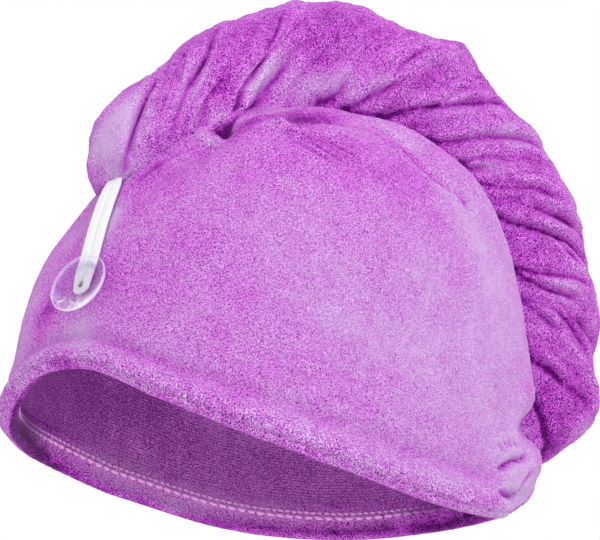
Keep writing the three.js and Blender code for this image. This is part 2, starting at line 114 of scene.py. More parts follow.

# Sharp creases (negative) and crests (positive) of the cap.
# points along the line; half width; height; darkening, which is painted shade (below zero, a
# painted highlight)
CAP_LINES = [
    ([(64.4, -63.1, 9.7), (68.3, -59.1, 12.5), (71.2, -57.9, 14.5), (74.5, -56.8, 15.8),
      (77.4, -56.4, 17.2), (78.9, -56.5, 18.6)], 1.2, -2.6, 2.8),
    ([(65.2, -61.5, 1.4), (69.7, -58.3, 2.1), (75.7, -53.6, 3.6), (79.2, -52.7, 6.3),
      (79.4, -55.1, 7.9), (81.3, -55.2, 10.5), (82.8, -55.2, 13.4)], 1.35, -2.8, 3),
    ([(66.8, -62.7, 6.3), (69.7, -62.7, 8), (73.7, -61, 11.3)], 3.2, 1.8, -0.2),
    ([(62, -63.7, 18.1), (65.3, -62.5, 16.8)], 0.85, -1.1, 1.2),
    ([(64.7, -62.7, 20), (67.9, -61.6, 18.7)], 0.85, -1.1, 1.2),
    ([(67.6, -61.6, 21.2), (70.2, -60.7, 19.7)], 0.85, -1.1, 1.2),
    ([(71.2, -59.7, 21.9), (73.1, -59.2, 20.6)], 0.85, -1.1, 1.2),
    ([(-46.6, -47.3, 105.7), (-44.6, -48, 108.4), (-35.9, -51.6, 114.7), (-34.4, -55.2, 111.9),
      (-32.2, -58.1, 110.3), (-29.4, -60.2, 109.9), (-24.7, -61.8, 110.2), (-18.1, -61.5, 112),
      (-11.3, -59.4, 115.4)], 2.4, 1.7, -0.35),
    ([(-47, -26.2, 111.9), (-44.6, -25.7, 111.2), (-42.9, -26.6, 110.4),
      (-42.4, -30.1, 110)], 2.4, -3.2, 2.6),
    ([(-44.6, -25.7, 113.9), (-42.4, -26.4, 113.3), (-42.4, -30.5, 111)], 2.8, -2.2, 2.2),
    ([(-43, -36, 112.5), (-40.5, -34, 115.5), (-37, -33, 118.5)], 3.6, -0.6, 0.7),
    ([(-38.5, -28, 120.5), (-41.5, -28.5, 118), (-44, -28.2, 115.6),
      (-45.5, -28, 112.5)], 2.3, -1.4, 1.5),
    ([(-31, -52, 117), (-26, -46.5, 120), (-20, -46, 121.5), (-14, -48, 121.5),
      (-8, -50, 121)], 4.4, -1.6, 0.3),
    ([(-33, -55, 114.6), (-29, -54, 116), (-20, -50, 118.5), (-13, -51, 119.5)], 2.4, -1.4, 0.6),
    ([(-51.8, -27.2, 109.7), (-50.8, -29.5, 107.9), (-49.1, -30.5, 106.3),
      (-51.3, -29.6, 105.1)], 2.2, 1.5, -0.5),
    ([(-5.9, -49.5, 123.5), (1.8, -50.8, 124), (9.1, -53.1, 122.6), (16.7, -55.4, 119),
      (24, -58.6, 113.4), (32, -60.8, 106.9), (40, -60.3, 102.4)], 6, 0, -0.3),
    ([(0.1, -50.8, 123.5), (3.8, -51.8, 122.8), (7.4, -53.3, 121.2), (10, -54.9, 119.3),
      (12.9, -56.2, 117.2), (14.6, -58, 114.6)], 1.2, -0.8, 0.6),
    ([(11.8, -56.8, 116.3), (15.2, -58.8, 113), (19.2, -59.8, 110.2), (24, -60.9, 107.5),
      (30.3, -61, 105.5), (37, -60.6, 103.8)], 1.3, -0.9, 0.7),
    ([(38.1, -60.3, 103.4), (39.5, -60.4, 102.3)], 1.7, -0.9, 1.2),
    ([(-29.7, -60, 107.3), (-16.4, -66.6, 100)], 0.8, -0.7, 0.7),
    ([(-27.3, -61.1, 108.5), (-13.8, -66, 102.4)], 0.8, -0.7, 0.7),
    ([(-31.2, -59, 104.8), (-19.6, -66.9, 97.8)], 0.8, -0.7, 0.7),
    ([(-23.9, -62, 109.3), (-11.1, -65.3, 104.1)], 0.8, -0.7, 0.7),
    ([(77.9, -51.7, 58.1), (76, -53.6, 54.2), (74.1, -55.6, 50.4)], 1.4, -0.7, 0.3),
    ([(-59, -26, 103), (-64, -23.5, 97.5), (-68.5, -20.5, 91.5), (-71, -20, 87.5)], 2, -0.5, 0.45),
]

# Brushed pile of the cap, paler (+) or deeper (-), which also holds painted shade in the hollows
# and by the tail and painted highlights in pale patches; same columns as the folds.
CAP_NAP_AND_SHADING = [
    (-50, -58, 5, 9, -4, 0, 10, 5, -0.12),
    (-46, -66, 4, 9, -3, -2, 12, 4, -0.1),
    (82, -46, 63.4, 1, 0, 10, 12, 5, -0.14),
    (72, -57.5, 45, 4, 2, 9, 10, 6, -0.12),
    (29, -53, 122, 9, 0, -4, 10, 5, -0.12),
    (-41, -27, 114, 7, 0, 6, 6, 4, 0.2),
    (-80, -20, 68.4, 1, 0, 10, 10, 6, 0.3),
    (-89, -9, 25, 1, 0, 10, 8, 6, 0.12),
    (-50, -66, 57.5, 3, 0, 4, 14, 8, 0.1),
    (-41, -26, 120.5, 7, 1, 6, 8, 5, -0.24),
    (-28, -44.7, 118, 10, 0, 1, 8, 5, -0.17),
    (25, -59, 113, 2, 0, -1, 14, 6, -0.15),
    (9.5, -65, 103, 8, 0, -3, 10, 6, -0.12),
    (-85, 26, 41, 0, 3, 10, 9, 6, -0.2),
    (-87, -17, 16, 3, -5, 8, 8, 6, -0.12),
    (-84.6, -26, 26.7, 2, 3, 10, 8, 6, 0.18),
    (-77, -42.4, 10, 3, -3, -1, 10, 5, 0.08),
    (10, -77, 50, 9, 2, 3, 60, 44, 0.12),
    (60, -61, 60, 4, 1, 9, 60, 30, 0.16),
    (76, -50, 40, 1, 1, 3, 40, 16, 0.14),
    (30, -56, 108, 3, -1, -4, 40, 9, 0.2),
    (-60, -55, 60, 1, -1, 3, 40, 24, -0.08),
    (-76, -24, 76, 2, -3, 9, 22, 14, -0.14),
    (-80, -30, 40, 2, -4, 9, 22, 12, -0.08),
    (-23, -46, 121, 10, -1, 1, 17, 9, -0.4),
    (-43, -41, 113, 5, -3, 7, 8, 6, -0.36),
    (-42, -30, 116, 3, 0, 4, 9, 6, -0.14),
    (-20, -62, 104, 4, -1, -2, 36, 12, -0.14),
    (0, -66, 96, 8, -1, -5, 50, 10, -0.08),
    (-92, 6, 30, 0, 5, 1, 40, 26, 0.12),
    (-86, -10, 48, 2, 2, 9, 34, 8, -0.12),
    (0, 74, 60, 3, 0, 1, 80, 50, 0.1),
    (-58, -36, 98, 7, -1, 7, 26, 10, -0.16),
    (-40, -58, 96, 9, 0, 1, 26, 10, -0.1),
    (-89, -6, 41, 1, 0, 10, 16, 9, -0.28),
    (-82, -27, 48, 2, -3, 9, 14, 8, -0.14),
    (-35, -25, 124.5, 16, 0, 9, 8, 3.5, -0.4),
    (14, -63, 106, 5, -3, -8, 22, 8, -0.14),
    (-16, -61, 112, 1, 0, 0, 12, 5, -0.12),
    (-80, -18, 69, 2, -3, 9, 9, 5, 0.2),
    (-85, -26, 27, 2, -4, 9, 10, 8, 0.16),
    (78, -52, 2, 3, 2, 2, 16, 10, 0.36),
    (26, -59, 112, 5, -3, -8, 14, 5, -0.16),
    (38, -60, 103.5, 5, -3, -8, 5, 3, -0.3),
    (-87.5, -22, 16, 3, -4, 8, 8, 7, -0.36),
    (-91, -4, 36, 1, 0, 10, 9, 6, -0.28),
    (-68, -21, 92, 5, 0, 8, 9, 5, -0.24),
    (-33, -57, 110, 2, 0, 1, 7, 4, -0.2),
    (-46, -46, 108, 2, 0, 1, 7, 4, -0.16),
    (-84, -25, 47, 2, -3, 9, 8, 6, -0.16),
    (-80, -19, 69, 2, -3, 9, 8, 4, 0.24),
    (88, -48, 6, 3, 5, 6, 12, 8, 0.3),
    (80, -54, 45, 2, 3, 9, 14, 4, -0.2),
    (-86, -18, 25, 2, -4, 9, 8, 8, 0.14),
    (30, -75, -4, 10, 1, 0, 30, 6, 0.12),
]

# Paler (+) and deeper (-) pile of the inside, which also holds painted shade under the front hem
# and at the left end and painted light in pale patches; same columns.
INSIDE_NAP_AND_SHADING = [
    (90, 40, 3, -3, 4, 0, 18, 4, 0.12),
    (55, 64, 27.7, 8, -5, 0, 9, 6, -0.17),
    (-22, 72.5, 9.2, 1, 0, 0, 14, 5, 0.14),
    (38, 66.7, 4.9, 5, -1, 0, 14, 5, 0.16),
    (13.4, 71.4, 4.8, 1, 0, 0, 12, 5, 0.14),
    (61, 61, 15, 4, -3, 0, 10, 6, 0.13),
    (9, 73.9, 36.1, 10, 0, 1, 12, 7, -0.2),
    (-11, 74.5, 36.3, 10, 0, 1, 10, 7, -0.22),
    (101.5, 20.3, 5.4, -1, 3, 0, 12, 7, 0.2),
    (69.2, 57.1, 29.6, 7, -7, -1, 10, 6, 0.18),
    (56.1, 63.4, 33.6, 8, -5, 0, 10, 6, 0.16),
    (-64, 58, 34, 6, 7, 0, 34, 22, -0.32),
    (-78, 40, 4, 3, 4, 0, 26, 10, -0.3),
    (-22, 74, 60, 1, 0, 0, 60, 16, -0.08),
    (-68, 50, 8, 3, 4, 0, 16, 12, -0.3),
    (-58, 60, 4, 13, 15, 0, 24, 9, -0.26),
    (-28, 73, 38, 1, 0, 0, 30, 12, -0.14),
    (16, 73, 42, 1, 0, 0, 14, 8, 0.16),
    (56, 63, 33, 2, -1, 0, 14, 8, 0.14),
    (40, 68, 3, 2, -1, 0, 40, 8, 0.24),
    (98, 20, 9, 10, -17, 0, 14, 7, -0.3),
    (-14, 75, 8, 1, 0, 0, 30, 8, 0.3),
    (26, 72, 4, 1, 0, 0, 34, 6, 0.26),
    (30, 72, 41, 10, -1, 0, 40, 10, 0.14),
]

# Stations along the middle of the tail, from the forehead to the back.
# columns: x, z, y, outward radius, inward radius, sideways radius
TAIL_PATH = np.array([
    (113, 34, -4, 7, 10, 9),
    (121, 42, -3, 13, 20, 15),
    (126, 56, -1, 18, 28, 19),
    (127, 72, 0, 21, 36, 22),
    (122, 92, 0, 21.5, 42, 23),
    (113, 114, 0, 21, 46, 23),
    (100.5, 132.5, 0, 20.8, 48, 23),
    (85.5, 149, 0, 21.3, 50, 23),
    (67, 161, 0, 21.3, 50, 23),
    (45, 167.5, 0, 21, 46, 23),
    (20, 167.5, 0, 21.5, 42, 23),
    (-1, 161.5, 0, 21.5, 36, 23),
    (-22, 149.5, 0, 21, 30, 22),
    (-39, 135, 0, 20, 26, 21),
    (-54, 121, 0, 18, 22, 20),
    (-66, 108, 0, 14, 18, 18),
    (-73, 96, -1, 9, 10, 14),
    (-75.5, 89.5, -1, 4, 4, 8),
], float)

# Creases of the twist: distance along the path at 40, 70, 100 and 150 degrees round from the
# underside, and depth.
TAIL_CREASES = [
    (20, 11, 8, 6, 2.4),
    (39, 34, 27, 19, 1.5),
    (67, 55, 44, 31, 2.3),
    (79, 71, 61, 46, 1.1),
    (86, 78, 72, 59, 2.3),
    (107, 98, 87, 71, 2.6),
    (114, 105, 97, 84, 1.0),
    (126, 115, 106, 94, 2.6),
    (139, 129, 118, 106, 1.2),
    (156, 142, 131, 118, 2.6),
    (185, 162, 146, 131, 2.7),
    (212, 184, 168, 151, 2.4),
    (219, 200, 183, 167, 1.2),
    (228, 209, 199, 185, 2.2),
    (290, 276, 228, 207, 3.1),
    (316, 298, 256, 233, 2.0),
    (324, 317, 296, 266, 2.0),
    (330, 328, 321, 295, 1.6),
]

# Swell or slack of the folds over the outer side: distance along at 150 degrees, height.
TAIL_SWELL = np.array([
    (0, -3.0), (12, -4.0), (20, -1.4), (28, 1.6), (36, -3.1), (44, -4.8), (50, -2.7),
    (58, 0.5), (66, 0.3), (76, -0.6), (86, 1.0), (96, 2.9), (106, 2.3), (116, 1.0),
    (126, 1.1), (136, -0.9), (143, -2.3), (150, -0.7), (157, 0.6), (164, 3.0), (172, -0.3),
    (180, -1.0), (188, -1.3), (196, -1.3), (204, 1.3), (212, 1.9), (222, 0.5), (230, 2.1),
    (238, 1.0), (248, -0.1), (256, 0.2), (264, 1.6), (272, 2.0), (280, 0.5), (288, -1.6),
    (296, -1.4), (304, 0.3), (311, 2.1), (318, 1.6), (326, -2.5), (334, -2.0),
])

# Bulges and dents of the tail, same columns as the folds of the cap.
TAIL_DENTS = [
    (-54, -24, 108, 74, 0, 67, 18, 8, 9.5),
    (-31, -22, 125, 17, 0, 10, 18, 8, 7),
    (-71, -18, 95, 4, 0, 9, 12, 8, 3),
    (124, -9, 34, 10, 0, 3, 10, 8, -2.2),
    (139, -15, 53, 1, 1, 5, 10, 8, 1.4),
    (56, -18, 181, 9, 2, 0, 9, 8, 2.2),
]

# Sharp creases and crests of the tail's seen side, with painted shade in the creases and painted
# highlight on the crests, same columns as the lines of the cap.
TAIL_LINES = [
    ([(-64, -8.6, 131), (-65.6, -9.5, 127.1), (-67.2, -10, 122.6), (-69.2, -11, 116.7),
      (-71.4, -12.7, 109.8), (-73.2, -14.2, 103.1), (-75, -16, 95.7),
      (-76.5, -18, 90)], 1.2, -2.2, 2),
    ([(-39.9, -5.1, 162.2), (-42.9, -8.8, 156.8), (-46, -12.8, 150.6), (-48.6, -16.1, 144),
      (-50.3, -16.7, 139.4), (-53.5, -17.3, 133.5), (-56.4, -18.8, 127.5), (-58.2, -19.9, 122),
      (-59.5, -20.6, 117.5), (-61, -21.1, 111.9), (-63, -23, 107)], 1.3, -1.4, 1),
    ([(-49.6, -16.2, 142.1), (-52, -16.9, 135.6), (-54.6, -18.9, 129.5)], 1.6, -1, 0.7),
    ([(-20.5, -16.5, 170.1), (-23.4, -19.9, 163.2), (-25.1, -21.1, 158.2), (-27.7, -21.9, 152.4),
      (-29.6, -20.9, 145.7), (-32.7, -22, 138.9), (-36.3, -23.4, 132.2), (-40.1, -24.2, 126.1),
      (-43.6, -23.7, 120.9), (-48.2, -24.5, 115), (-52.5, -25, 110)], 1.4, -1.5, 1.1),
    ([(-25.6, -22.9, 151.2), (-29.3, -24.2, 141.7), (-33.1, -25.3, 133.9), (-36.5, -24, 128.1),
      (-41, -24.4, 122.7), (-45.2, -24.3, 117.9), (-49.6, -24.6, 113),
      (-54, -24.5, 108.5)], 2, 1.6, -0.5),
    ([(-19.2, -21.6, 148.1), (-22, -20.5, 142.7), (-26.1, -20.9, 136.6), (-35.3, -25.3, 126.2),
      (-38.5, -26, 121.9)], 1.8, -2.4, 1.5),
    ([(-56, -22.1, 110.5), (-60.3, -21, 105.3), (-64.3, -19.5, 99.9)], 1.5, -1.2, 0.7),
    ([(7.5, -20.7, 150.6), (6.4, -19.2, 146.7), (3.8, -18.3, 143.7), (1, -17.6, 141.4),
      (-3.7, -18.6, 138.8)], 1.9, -1.6, 1.1),
    ([(31.3, -22.9, 158.1), (28, -21.4, 155.8), (24.5, -20.6, 152.9), (21.1, -19.4, 150.1),
      (16.7, -18.5, 146.5), (12.7, -17.1, 143.2), (9.8, -16.4, 141.3)], 1.7, -1.9, 1.2),
    ([(42.9, -22, 177), (38.7, -22.7, 173.3), (34.4, -22.9, 169.4), (30.9, -22.7, 165.8),
      (27.2, -22.9, 161.3)], 1.3, -1.1, 0.7),
    ([(7.5, -17.4, 140.6), (13.4, -16.4, 141.2), (18.1, -17.4, 142), (22.5, -18.6, 143.1),
      (27.7, -17.5, 143.8)], 1.8, -1.4, 1.3),
    ([(22, -16.5, 140), (27.8, -17.5, 143.4), (30.4, -18.7, 145.1), (33.7, -19.6, 147.1),
      (37.9, -20.3, 149.5), (43.5, -20.5, 152), (50, -20.9, 154), (56.6, -21, 156.8),
      (63.2, -21.2, 159.3), (70.1, -21.1, 161.9), (78.6, -18.9, 164.8)], 1.4, -2, 1.3),
    ([(42, -17.5, 137.5), (47.9, -19, 140.7), (51.6, -19.2, 140.2), (56.1, -19.7, 141.8),
      (61, -20.5, 143.5), (67.2, -21.3, 146.5), (73.8, -21.5, 148.9), (81, -21.3, 150.7),
      (88.1, -21.2, 152.1), (95, -19.8, 152.9), (98.8, -20.2, 151.4)], 1.4, -2, 1.3),
    ([(57, -17.5, 132.5), (62.7, -18.8, 135.9), (66.4, -20.6, 137.4), (70.3, -21.4, 139.2),
      (75.3, -22.1, 140.9), (80.9, -22.8, 142)], 1.2, -1.5, 1),
    ([(57, -17.5, 132.5), (63.6, -18.8, 135.7), (66.9, -19.7, 134.5), (71.7, -20.1, 135.4),
      (77.3, -21.7, 135.4)], 1.5, -1.5, 0.9),
    ([(67, -18, 128.5), (72.5, -20, 129.9), (76.5, -21, 130), (81.6, -21.7, 130.6),
      (87.5, -22.7, 131.7), (94.8, -23, 133.3), (100.8, -23.4, 133.4),
      (107, -23.8, 132.6)], 1.3, -1.6, 1),
    ([(73.3, -21.1, 132.3), (79.8, -22.6, 132.7), (88.5, -23.6, 133.8), (98, -23.7, 134.5),
      (105.3, -24.5, 134)], 1.1, -0.9, 0.6),
    ([(95.9, -22.7, 126.3), (102.4, -21.8, 126.3), (108.3, -21.2, 126.1), (114, -20.3, 125.5),
      (121.3, -17.4, 125.3), (125.3, -17, 123.2)], 1.7, -2.2, 1.2),
    ([(78.5, -18, 121), (84.2, -19.5, 119.2), (87.6, -19.5, 118.5), (92.1, -20, 118.5),
      (97.7, -20.3, 118.4), (103.2, -20.6, 118.6), (110.3, -20.3, 118.2), (115.4, -20.2, 117.6),
      (119.7, -20.1, 116), (125.3, -18.4, 113.8)], 1.5, -2.3, 1.5),
    ([(110.2, -20.6, 117.3), (114, -22.5, 113.9), (118.4, -22.3, 111.8),
      (121.3, -22.6, 110.1)], 1.2, -1.1, 0.8),
    ([(88, -17.5, 102), (94, -18.8, 101.7), (97.8, -20.1, 101.7), (102.1, -20.9, 101.5),
      (107.6, -21.2, 102.1), (114.1, -21.4, 103.5), (120.2, -21.7, 104.3),
      (125.9, -20.8, 104)], 1.4, -1.7, 1.2),
    ([(90, -17.5, 102), (96.1, -18.9, 99.4), (100.2, -20, 98.3), (105.1, -20.2, 97.2),
      (110.1, -20, 96.5), (115.6, -20.5, 96.7), (121.6, -20.9, 96.6)], 1.5, -2.1, 1.3),
    ([(93, -17.5, 91), (99.2, -19, 89), (103.4, -20.1, 87), (108.6, -20, 84.8),
      (112.2, -20.5, 82.8), (115.3, -21.9, 81)], 1.3, -1.5, 0.8),
    ([(113.8, -21.3, 81.5), (117, -23.1, 78.8), (121, -23.4, 76.5), (124.6, -24.1, 74.1),
      (128.8, -23.3, 72.5)], 1.9, 1.6, -0.6),
    ([(108.8, -21.2, 91.5), (114.5, -20.5, 89.1), (118.9, -20.3, 86.2), (122.8, -20, 83.3),
      (127.5, -19, 80.2), (132.9, -17, 77.1)], 1.4, -1.8, 0.9),
    ([(113.2, -21.5, 93.4), (120.5, -20.3, 89.1), (129, -16.1, 87.2), (135.1, -13.7, 85.2),
      (139.3, -11.8, 84.1)], 1.4, -1.6, 0.8),
    ([(101, -14.5, 70.5), (106.5, -16.3, 68.9), (110.2, -16.7, 67.7), (113.6, -17.4, 66.5),
      (117.1, -18.1, 64.8), (120.6, -18.3, 62.9)], 1.9, -2.3, 1.4),
    ([(120.6, -18.3, 62.9), (125, -18.6, 61.1), (130.6, -17.9, 59.4),
      (134.9, -17.7, 57.3)], 2.2, -1.5, 0.5),
    ([(110.6, -20.3, 73.6), (115.3, -20.7, 71.9), (121.2, -21.1, 69), (127.4, -21, 65.7),
      (133.1, -20.5, 62.4)], 1.7, -1.1, 0.5),
    ([(107, -13, 58), (110.8, -14.2, 53.9), (113.3, -14.5, 50.5), (115.7, -14.5, 46.4),
      (117.7, -13.9, 41.4), (120.7, -10.1, 37.1), (122.1, -6.8, 34.7)], 1.9, -2.2, 1.4),
]

# Brushed pile of the tail, which also holds painted shade along the cap's edge and in the fold
# roots and painted highlights on the folds; same columns as the folds of the cap.
TAIL_NAP_AND_SHADING = [
    (-36, -24, 126, 7, 0, 6, 7, 4, -0.3),
    (114, -18, 55.7, 1, 0, 10, 7, 4, -0.24),
    (-43, -22.9, 130, 1, 0, 1, 6, 4, -0.2),
    (55.6, -22, 147.6, 8, 0, -3, 7, 4, -0.17),
    (34, -20, 143.4, 1, 0, 0, 7, 4, -0.17),
    (4.6, -18, 140.4, 10, 0, 1, 7, 4, -0.17),
    (-4.3, -23, 151.8, 10, 0, 3, 6, 4, -0.16),
    (-47.4, -19, 141.2, 6, 0, 7, 7, 4, -0.16),
    (98, -20.4, 93.6, 1, 0, 5, 7, 5, -0.14),
    (69, -23.8, 156.6, 7, 0, -5, 7, 5, -0.14),
    (109.5, -20, 84.6, 1, 0, 5, 8, 5, 0.22),
    (90, -20.5, 119, 4, 0, -9, 10, 5, 0.19),
    (112.8, -21, 97, 1, 0, 10, 7, 5, 0.18),
    (108.4, -17, 67.3, 1, 0, 10, 7, 4, 0.14),
    (24, -21, 154, 1, 0, 0, 8, 5, 0.14),
    (-72, -13, 110, 1, 0, 5, 10, 6, 0.13),
    (110.5, -13, 40.6, 0, 0, 1, 8, 5, 0.14),
    (99, -22, 110.5, 1, 0, -3, 8, 5, 0.12),
    (103.6, -18, 73.4, 1, 0, 5, 10, 6, -0.24),
    (109.5, -21, 89.6, 1, 0, 5, 9, 5, -0.16),
    (91, -23, 123, 5, 0, -8, 10, 6, -0.18),
    (30.4, -22.5, 153, 1, 0, 0, 8, 5, -0.13),
    (-52.9, -17.4, 134.4, 5, 0, 8, 9, 6, 0.22),
    (27, -18.4, 144.6, 1, 0, 0, 12, 5, 0.22),
    (-37.6, -22.6, 129.7, 1, 0, 1, 8, 5, 0.18),
    (117.3, -18.4, 65.2, 1, 0, 10, 10, 6, 0.18),
    (58.6, -20, 142, 2, 0, -1, 10, 6, 0.17),
    (1.8, -19.8, 144.2, 10, 0, 3, 9, 6, 0.15),
    (79.5, -21.4, 150.6, 1, 0, -1, 12, 6, 0.16),
    (-8.9, -23.2, 154.6, 10, 0, 3, 8, 5, 0.15),
    (4, -22, 152, 5, 0, 3, 14, 8, 0.38),
    (-12, -20, 143, 2, 0, 1, 12, 6, 0.3),
    (-25, -22, 145, 8, 0, 9, 11, 5, 0.34),
    (-36, -22, 129, 7, 0, 8, 14, 4, 0.24),
    (-80, -8, 106, 1, 0, 3, 24, 11, 0.44),
    (36, -22, 154, 8, 0, 5, 7, 4, 0.34),
    (76, -21, 137, 10, 0, 3, 8, 3.5, 0.42),
    (50, -22, 177, 9, 0, -4, 14, 5, 0.22),
    (60, -22, 162, 1, 0, 0, 16, 9, 0.1),
    (70, -22, 150, 10, 0, 1, 16, 6, 0.1),
    (118, -19, 134, -5, 0, 8, 16, 6, 0.28),
    (133, -16, 98, 0, 0, 1, 22, 6, 0.34),
    (136, -16, 60, 1, 2, 10, 18, 7, 0.18),
    (134, -13, 48, 3, 1, 8, 12, 8, 0.28),
    (-4, -23, 168, 5, 0, 2, 14, 10, -0.16),
    (22, -20, 174, 5, 0, 9, 12, 5, -0.05),
    (-43, -21, 133, 3, 0, 4, 14, 6, -0.16),
    (44, -22, 162, 5, 0, 2, 9, 5, -0.12),
    (97, -22, 111, 4, 0, -1, 12, 7, -0.12),
    (118, -20, 58, 4, 0, -9, 16, 10, -0.14),
    (-60, -25, 106, 1, 0, 1, 24, 9, 0.18),
    (-57, -20, 123, 5, 0, 9, 12, 5, 0.28),
    (-31, -22, 133, 5, 0, 1, 9, 5, 0.26),
    (-26, -22, 154, 5, 0, 9, 8, 5, 0.22),
    (85, -22, 152, 10, 0, 1, 9, 5, 0.24),
    (112, -22, 119, 1, 0, 0, 8, 5, 0.24),
    (51, -22, 155, 10, 0, 3, 8, 4, 0.22),
    (-73, -15, 93, 4, 0, 9, 8, 6, 0.2),
    (-64, -1, 136, 5, 0, 8, 9, 8, 0.2),
    (5, -12, 184, 1, 0, 0, 16, 6, 0.2),
    (132, -18, 56, 2, 0, 9, 9, 6, -0.34),
    (123, -15, 40, 1, 0, 3, 9, 7, -0.32),
    (128, -18, 88, 0, 0, 1, 9, 5, -0.26),
    (111, -21, 90, 1, 0, 0, 8, 5, -0.14),
    (29, -22, 151, 8, 0, 5, 7, 4, -0.18),
    (-3, -23, 155, 5, 0, 2, 8, 4, -0.42),
    (52, -19, 138, 8, 0, -5, 16, 4, -0.26),
    (34, -20, 144, 9, 0, -2, 9, 4, -0.26),
    (-25, -16, 167, 8, 0, 5, 10, 6, -0.2),
    (-41, -22, 136, 5, 0, 9, 6, 3.5, -0.14),
    (97, -21, 155, 1, 0, 0, 8, 5, 0.16),
    (120, -22, 102, 1, 0, 5, 10, 8, 0.18),
    (121, -22, 74, 8, 0, 3, 9, 6, 0.18),
    (29, -22, 158, 9, 0, 2, 7, 4, 0.16),
    (-30, -21, 139, 2, 0, 1, 9, 5, 0.14),
    (-68, -10, 124, 5, 0, 9, 10, 7, 0.14),
    (98, -22, 122, 5, 0, 1, 10, 6, 0.14),
    (83, -23, 133, 1, 0, 0, 8, 4, 0.14),
    (117, -14, 50, 1, 0, 5, 12, 6, -0.08),
    (122, -21, 86, 1, 0, 0, 6, 4, -0.2),
    (58, -20, 141, 8, 0, 3, 7, 4, -0.16),
    (21, -21, 154, 3, 0, 1, 7, 5, 0.2),
    (-78, -8, 92, 1, 0, 2, 10, 8, 0.14),
]

# Elastic loop and button.
BUTTON_PHI, BUTTON_ZETA = math.radians(198.4), 0.228
BUTTON_FACING = np.array([-0.895, -0.37, 0.25])
BUTTON_RADIUS, BUTTON_THICK, BUTTON_STANDOFF, SHANK_RADIUS = 11.2, 2.2, 3.6, 1.1
BAND_WIDTH, BAND_THICK = 3.9, 1.3
LOOP_LINE = [(199.8, 0.175), (198.4, 0.228), (195.2, 0.40), (191.0, 0.55), (186.4, 0.66),
             (183.0, 0.735)]


# Small tools.
def unit(v):
    return v / np.maximum(np.linalg.norm(v, axis=-1, keepdims=True), 1e-9)


def smooth(x, a, b):
    t = np.clip((x - a) / (b - a), 0, 1)
    return t * t * (3 - 2 * t)


def hump(x, middle, width, height=1.0):
    return height * np.exp(-((x - middle) / width) ** 2)


def signed_power(v, power):
    return np.sign(v) * np.abs(v) ** power


def circle(count):
    return np.arange(count) / count * 2 * np.pi


def close_set(turns, dense, share):
    """Angles round a ring, closer together about one direction."""
    return turns - share * np.sin(turns - dense)


def distances(points):
    """Distance from the first points, measured along the first axis."""
    step = np.linalg.norm(np.diff(points, axis=0), axis=-1)
    return np.concatenate([0 * step[:1], np.cumsum(step, 0)])


def clear_of(points, centre, reach):
    """One, falling to a tenth at that centre."""
    return 1 - 0.9 * np.exp(-((points - np.array(centre)) ** 2).sum(-1) / reach ** 2)


def lattice(ix, iy, iz, seed):
    h = (ix * 73856093) ^ (iy * 19349663) ^ (iz * 83492791) ^ (seed * 2654435761)
    h = (h ^ (h >> 13)) * 1274126177
    h = h ^ (h >> 16)
    return (h & 0xFFFF) / 65535.0


def noise(p, size, seed):
    """Smooth value noise from 0 to 1, with features of about that size."""
    q = np.asarray(p, float) / size + 1000.0
    i = np.floor(q).astype(np.int64)
    f = smooth(q - i, 0, 1)
    out = 0.0
    for corner in np.ndindex(2, 2, 2):
        w = 1.0
        for k, d in enumerate(corner):
            w = w * (f[..., k] if d else 1 - f[..., k])
        out = out + w * lattice(*(i[..., k] + d for k, d in enumerate(corner)), seed)
    return out


def ripple(p, size, seed, height):
    """Noise about zero, of that height from the lowest to the highest."""
    return (noise(p, size, seed) - 0.5) * height


def spots(points, table):
    """Sum of soft elongated spots."""
    total = np.zeros(points.shape[:-1])
    for x, y, z, dx, dy, dz, length, width, height in table:
        rel = points - np.array([x, y, z], float)
        along = rel @ unit(np.array([dx, dy, dz], float))
        across2 = np.maximum((rel * rel).sum(-1) - along * along, 0)
        total += height * np.exp(-(along / length) ** 2 - across2 / (width * width))
    return total


def lines(points, outward, table):
    """Height and darkening of the sharp lines at each point, measured along the surface.
    The darkening is painted shade in the line, with a little painted highlight beside it.
    """
    flat = points.reshape(-1, 3)
    normals = outward.reshape(-1, 3)
    lift = np.zeros(len(flat))
    dark = np.zeros(len(flat))
    for path, width, height, shade in table:
        path = np.array(path, float)
        reach = 4 * width + 4
        near = np.where(((flat > path.min(0) - reach) & (flat < path.max(0) + reach)).all(1))[0]
        if not len(near):
            continue
        p, n = flat[near], normals[near]
        best = np.full(len(near), 1e9)
        place = np.zeros(len(near))
        total = len(path) - 1
        for k in range(total):
            run = path[k + 1] - path[k]
            t = np.clip((p - path[k]) @ run / (run @ run), 0, 1)
            away = p - path[k] - t[:, None] * run
            away -= 0.85 * (away * n).sum(1, keepdims=True) * n
            d = np.linalg.norm(away, axis=1)
            closer = d < best
            best[closer] = d[closer]
            place[closer] = ((k + t) / total)[closer]
        fade = 0.35 + 0.65 * np.sin(np.pi * np.clip(place, 0, 1)) ** 0.6
        beside = hump(best / width, 2.3, 1.2)
        lift[near] += height * fade * (hump(best, 0, width) - 0.28 * beside)
        # painted shade along the line, a little painted highlight beside it
        dark[near] += shade * fade * (hump(best, 0, 0.62 * width) - 0.13 * beside)
    return lift.reshape(points.shape[:-1]), dark.reshape(points.shape[:-1])


# Cap surface: phi runs round from the forehead, zeta from 0 at the rim to 1 at the crown.
def rim_height(phi):
    count = len(RIM_HEIGHTS)
    t = np.mod(phi, 2 * np.pi) / (2 * np.pi) * count
    i = np.floor(t).astype(int)
    f = t - i
    a, b, c, d = (RIM_HEIGHTS[(i + k) % count] for k in (-1, 0, 1, 2))
    return b + 0.5 * f * (c - a + f * (2 * a - 5 * b + 4 * c - d + f * (3 * (b - c) + d - a)))


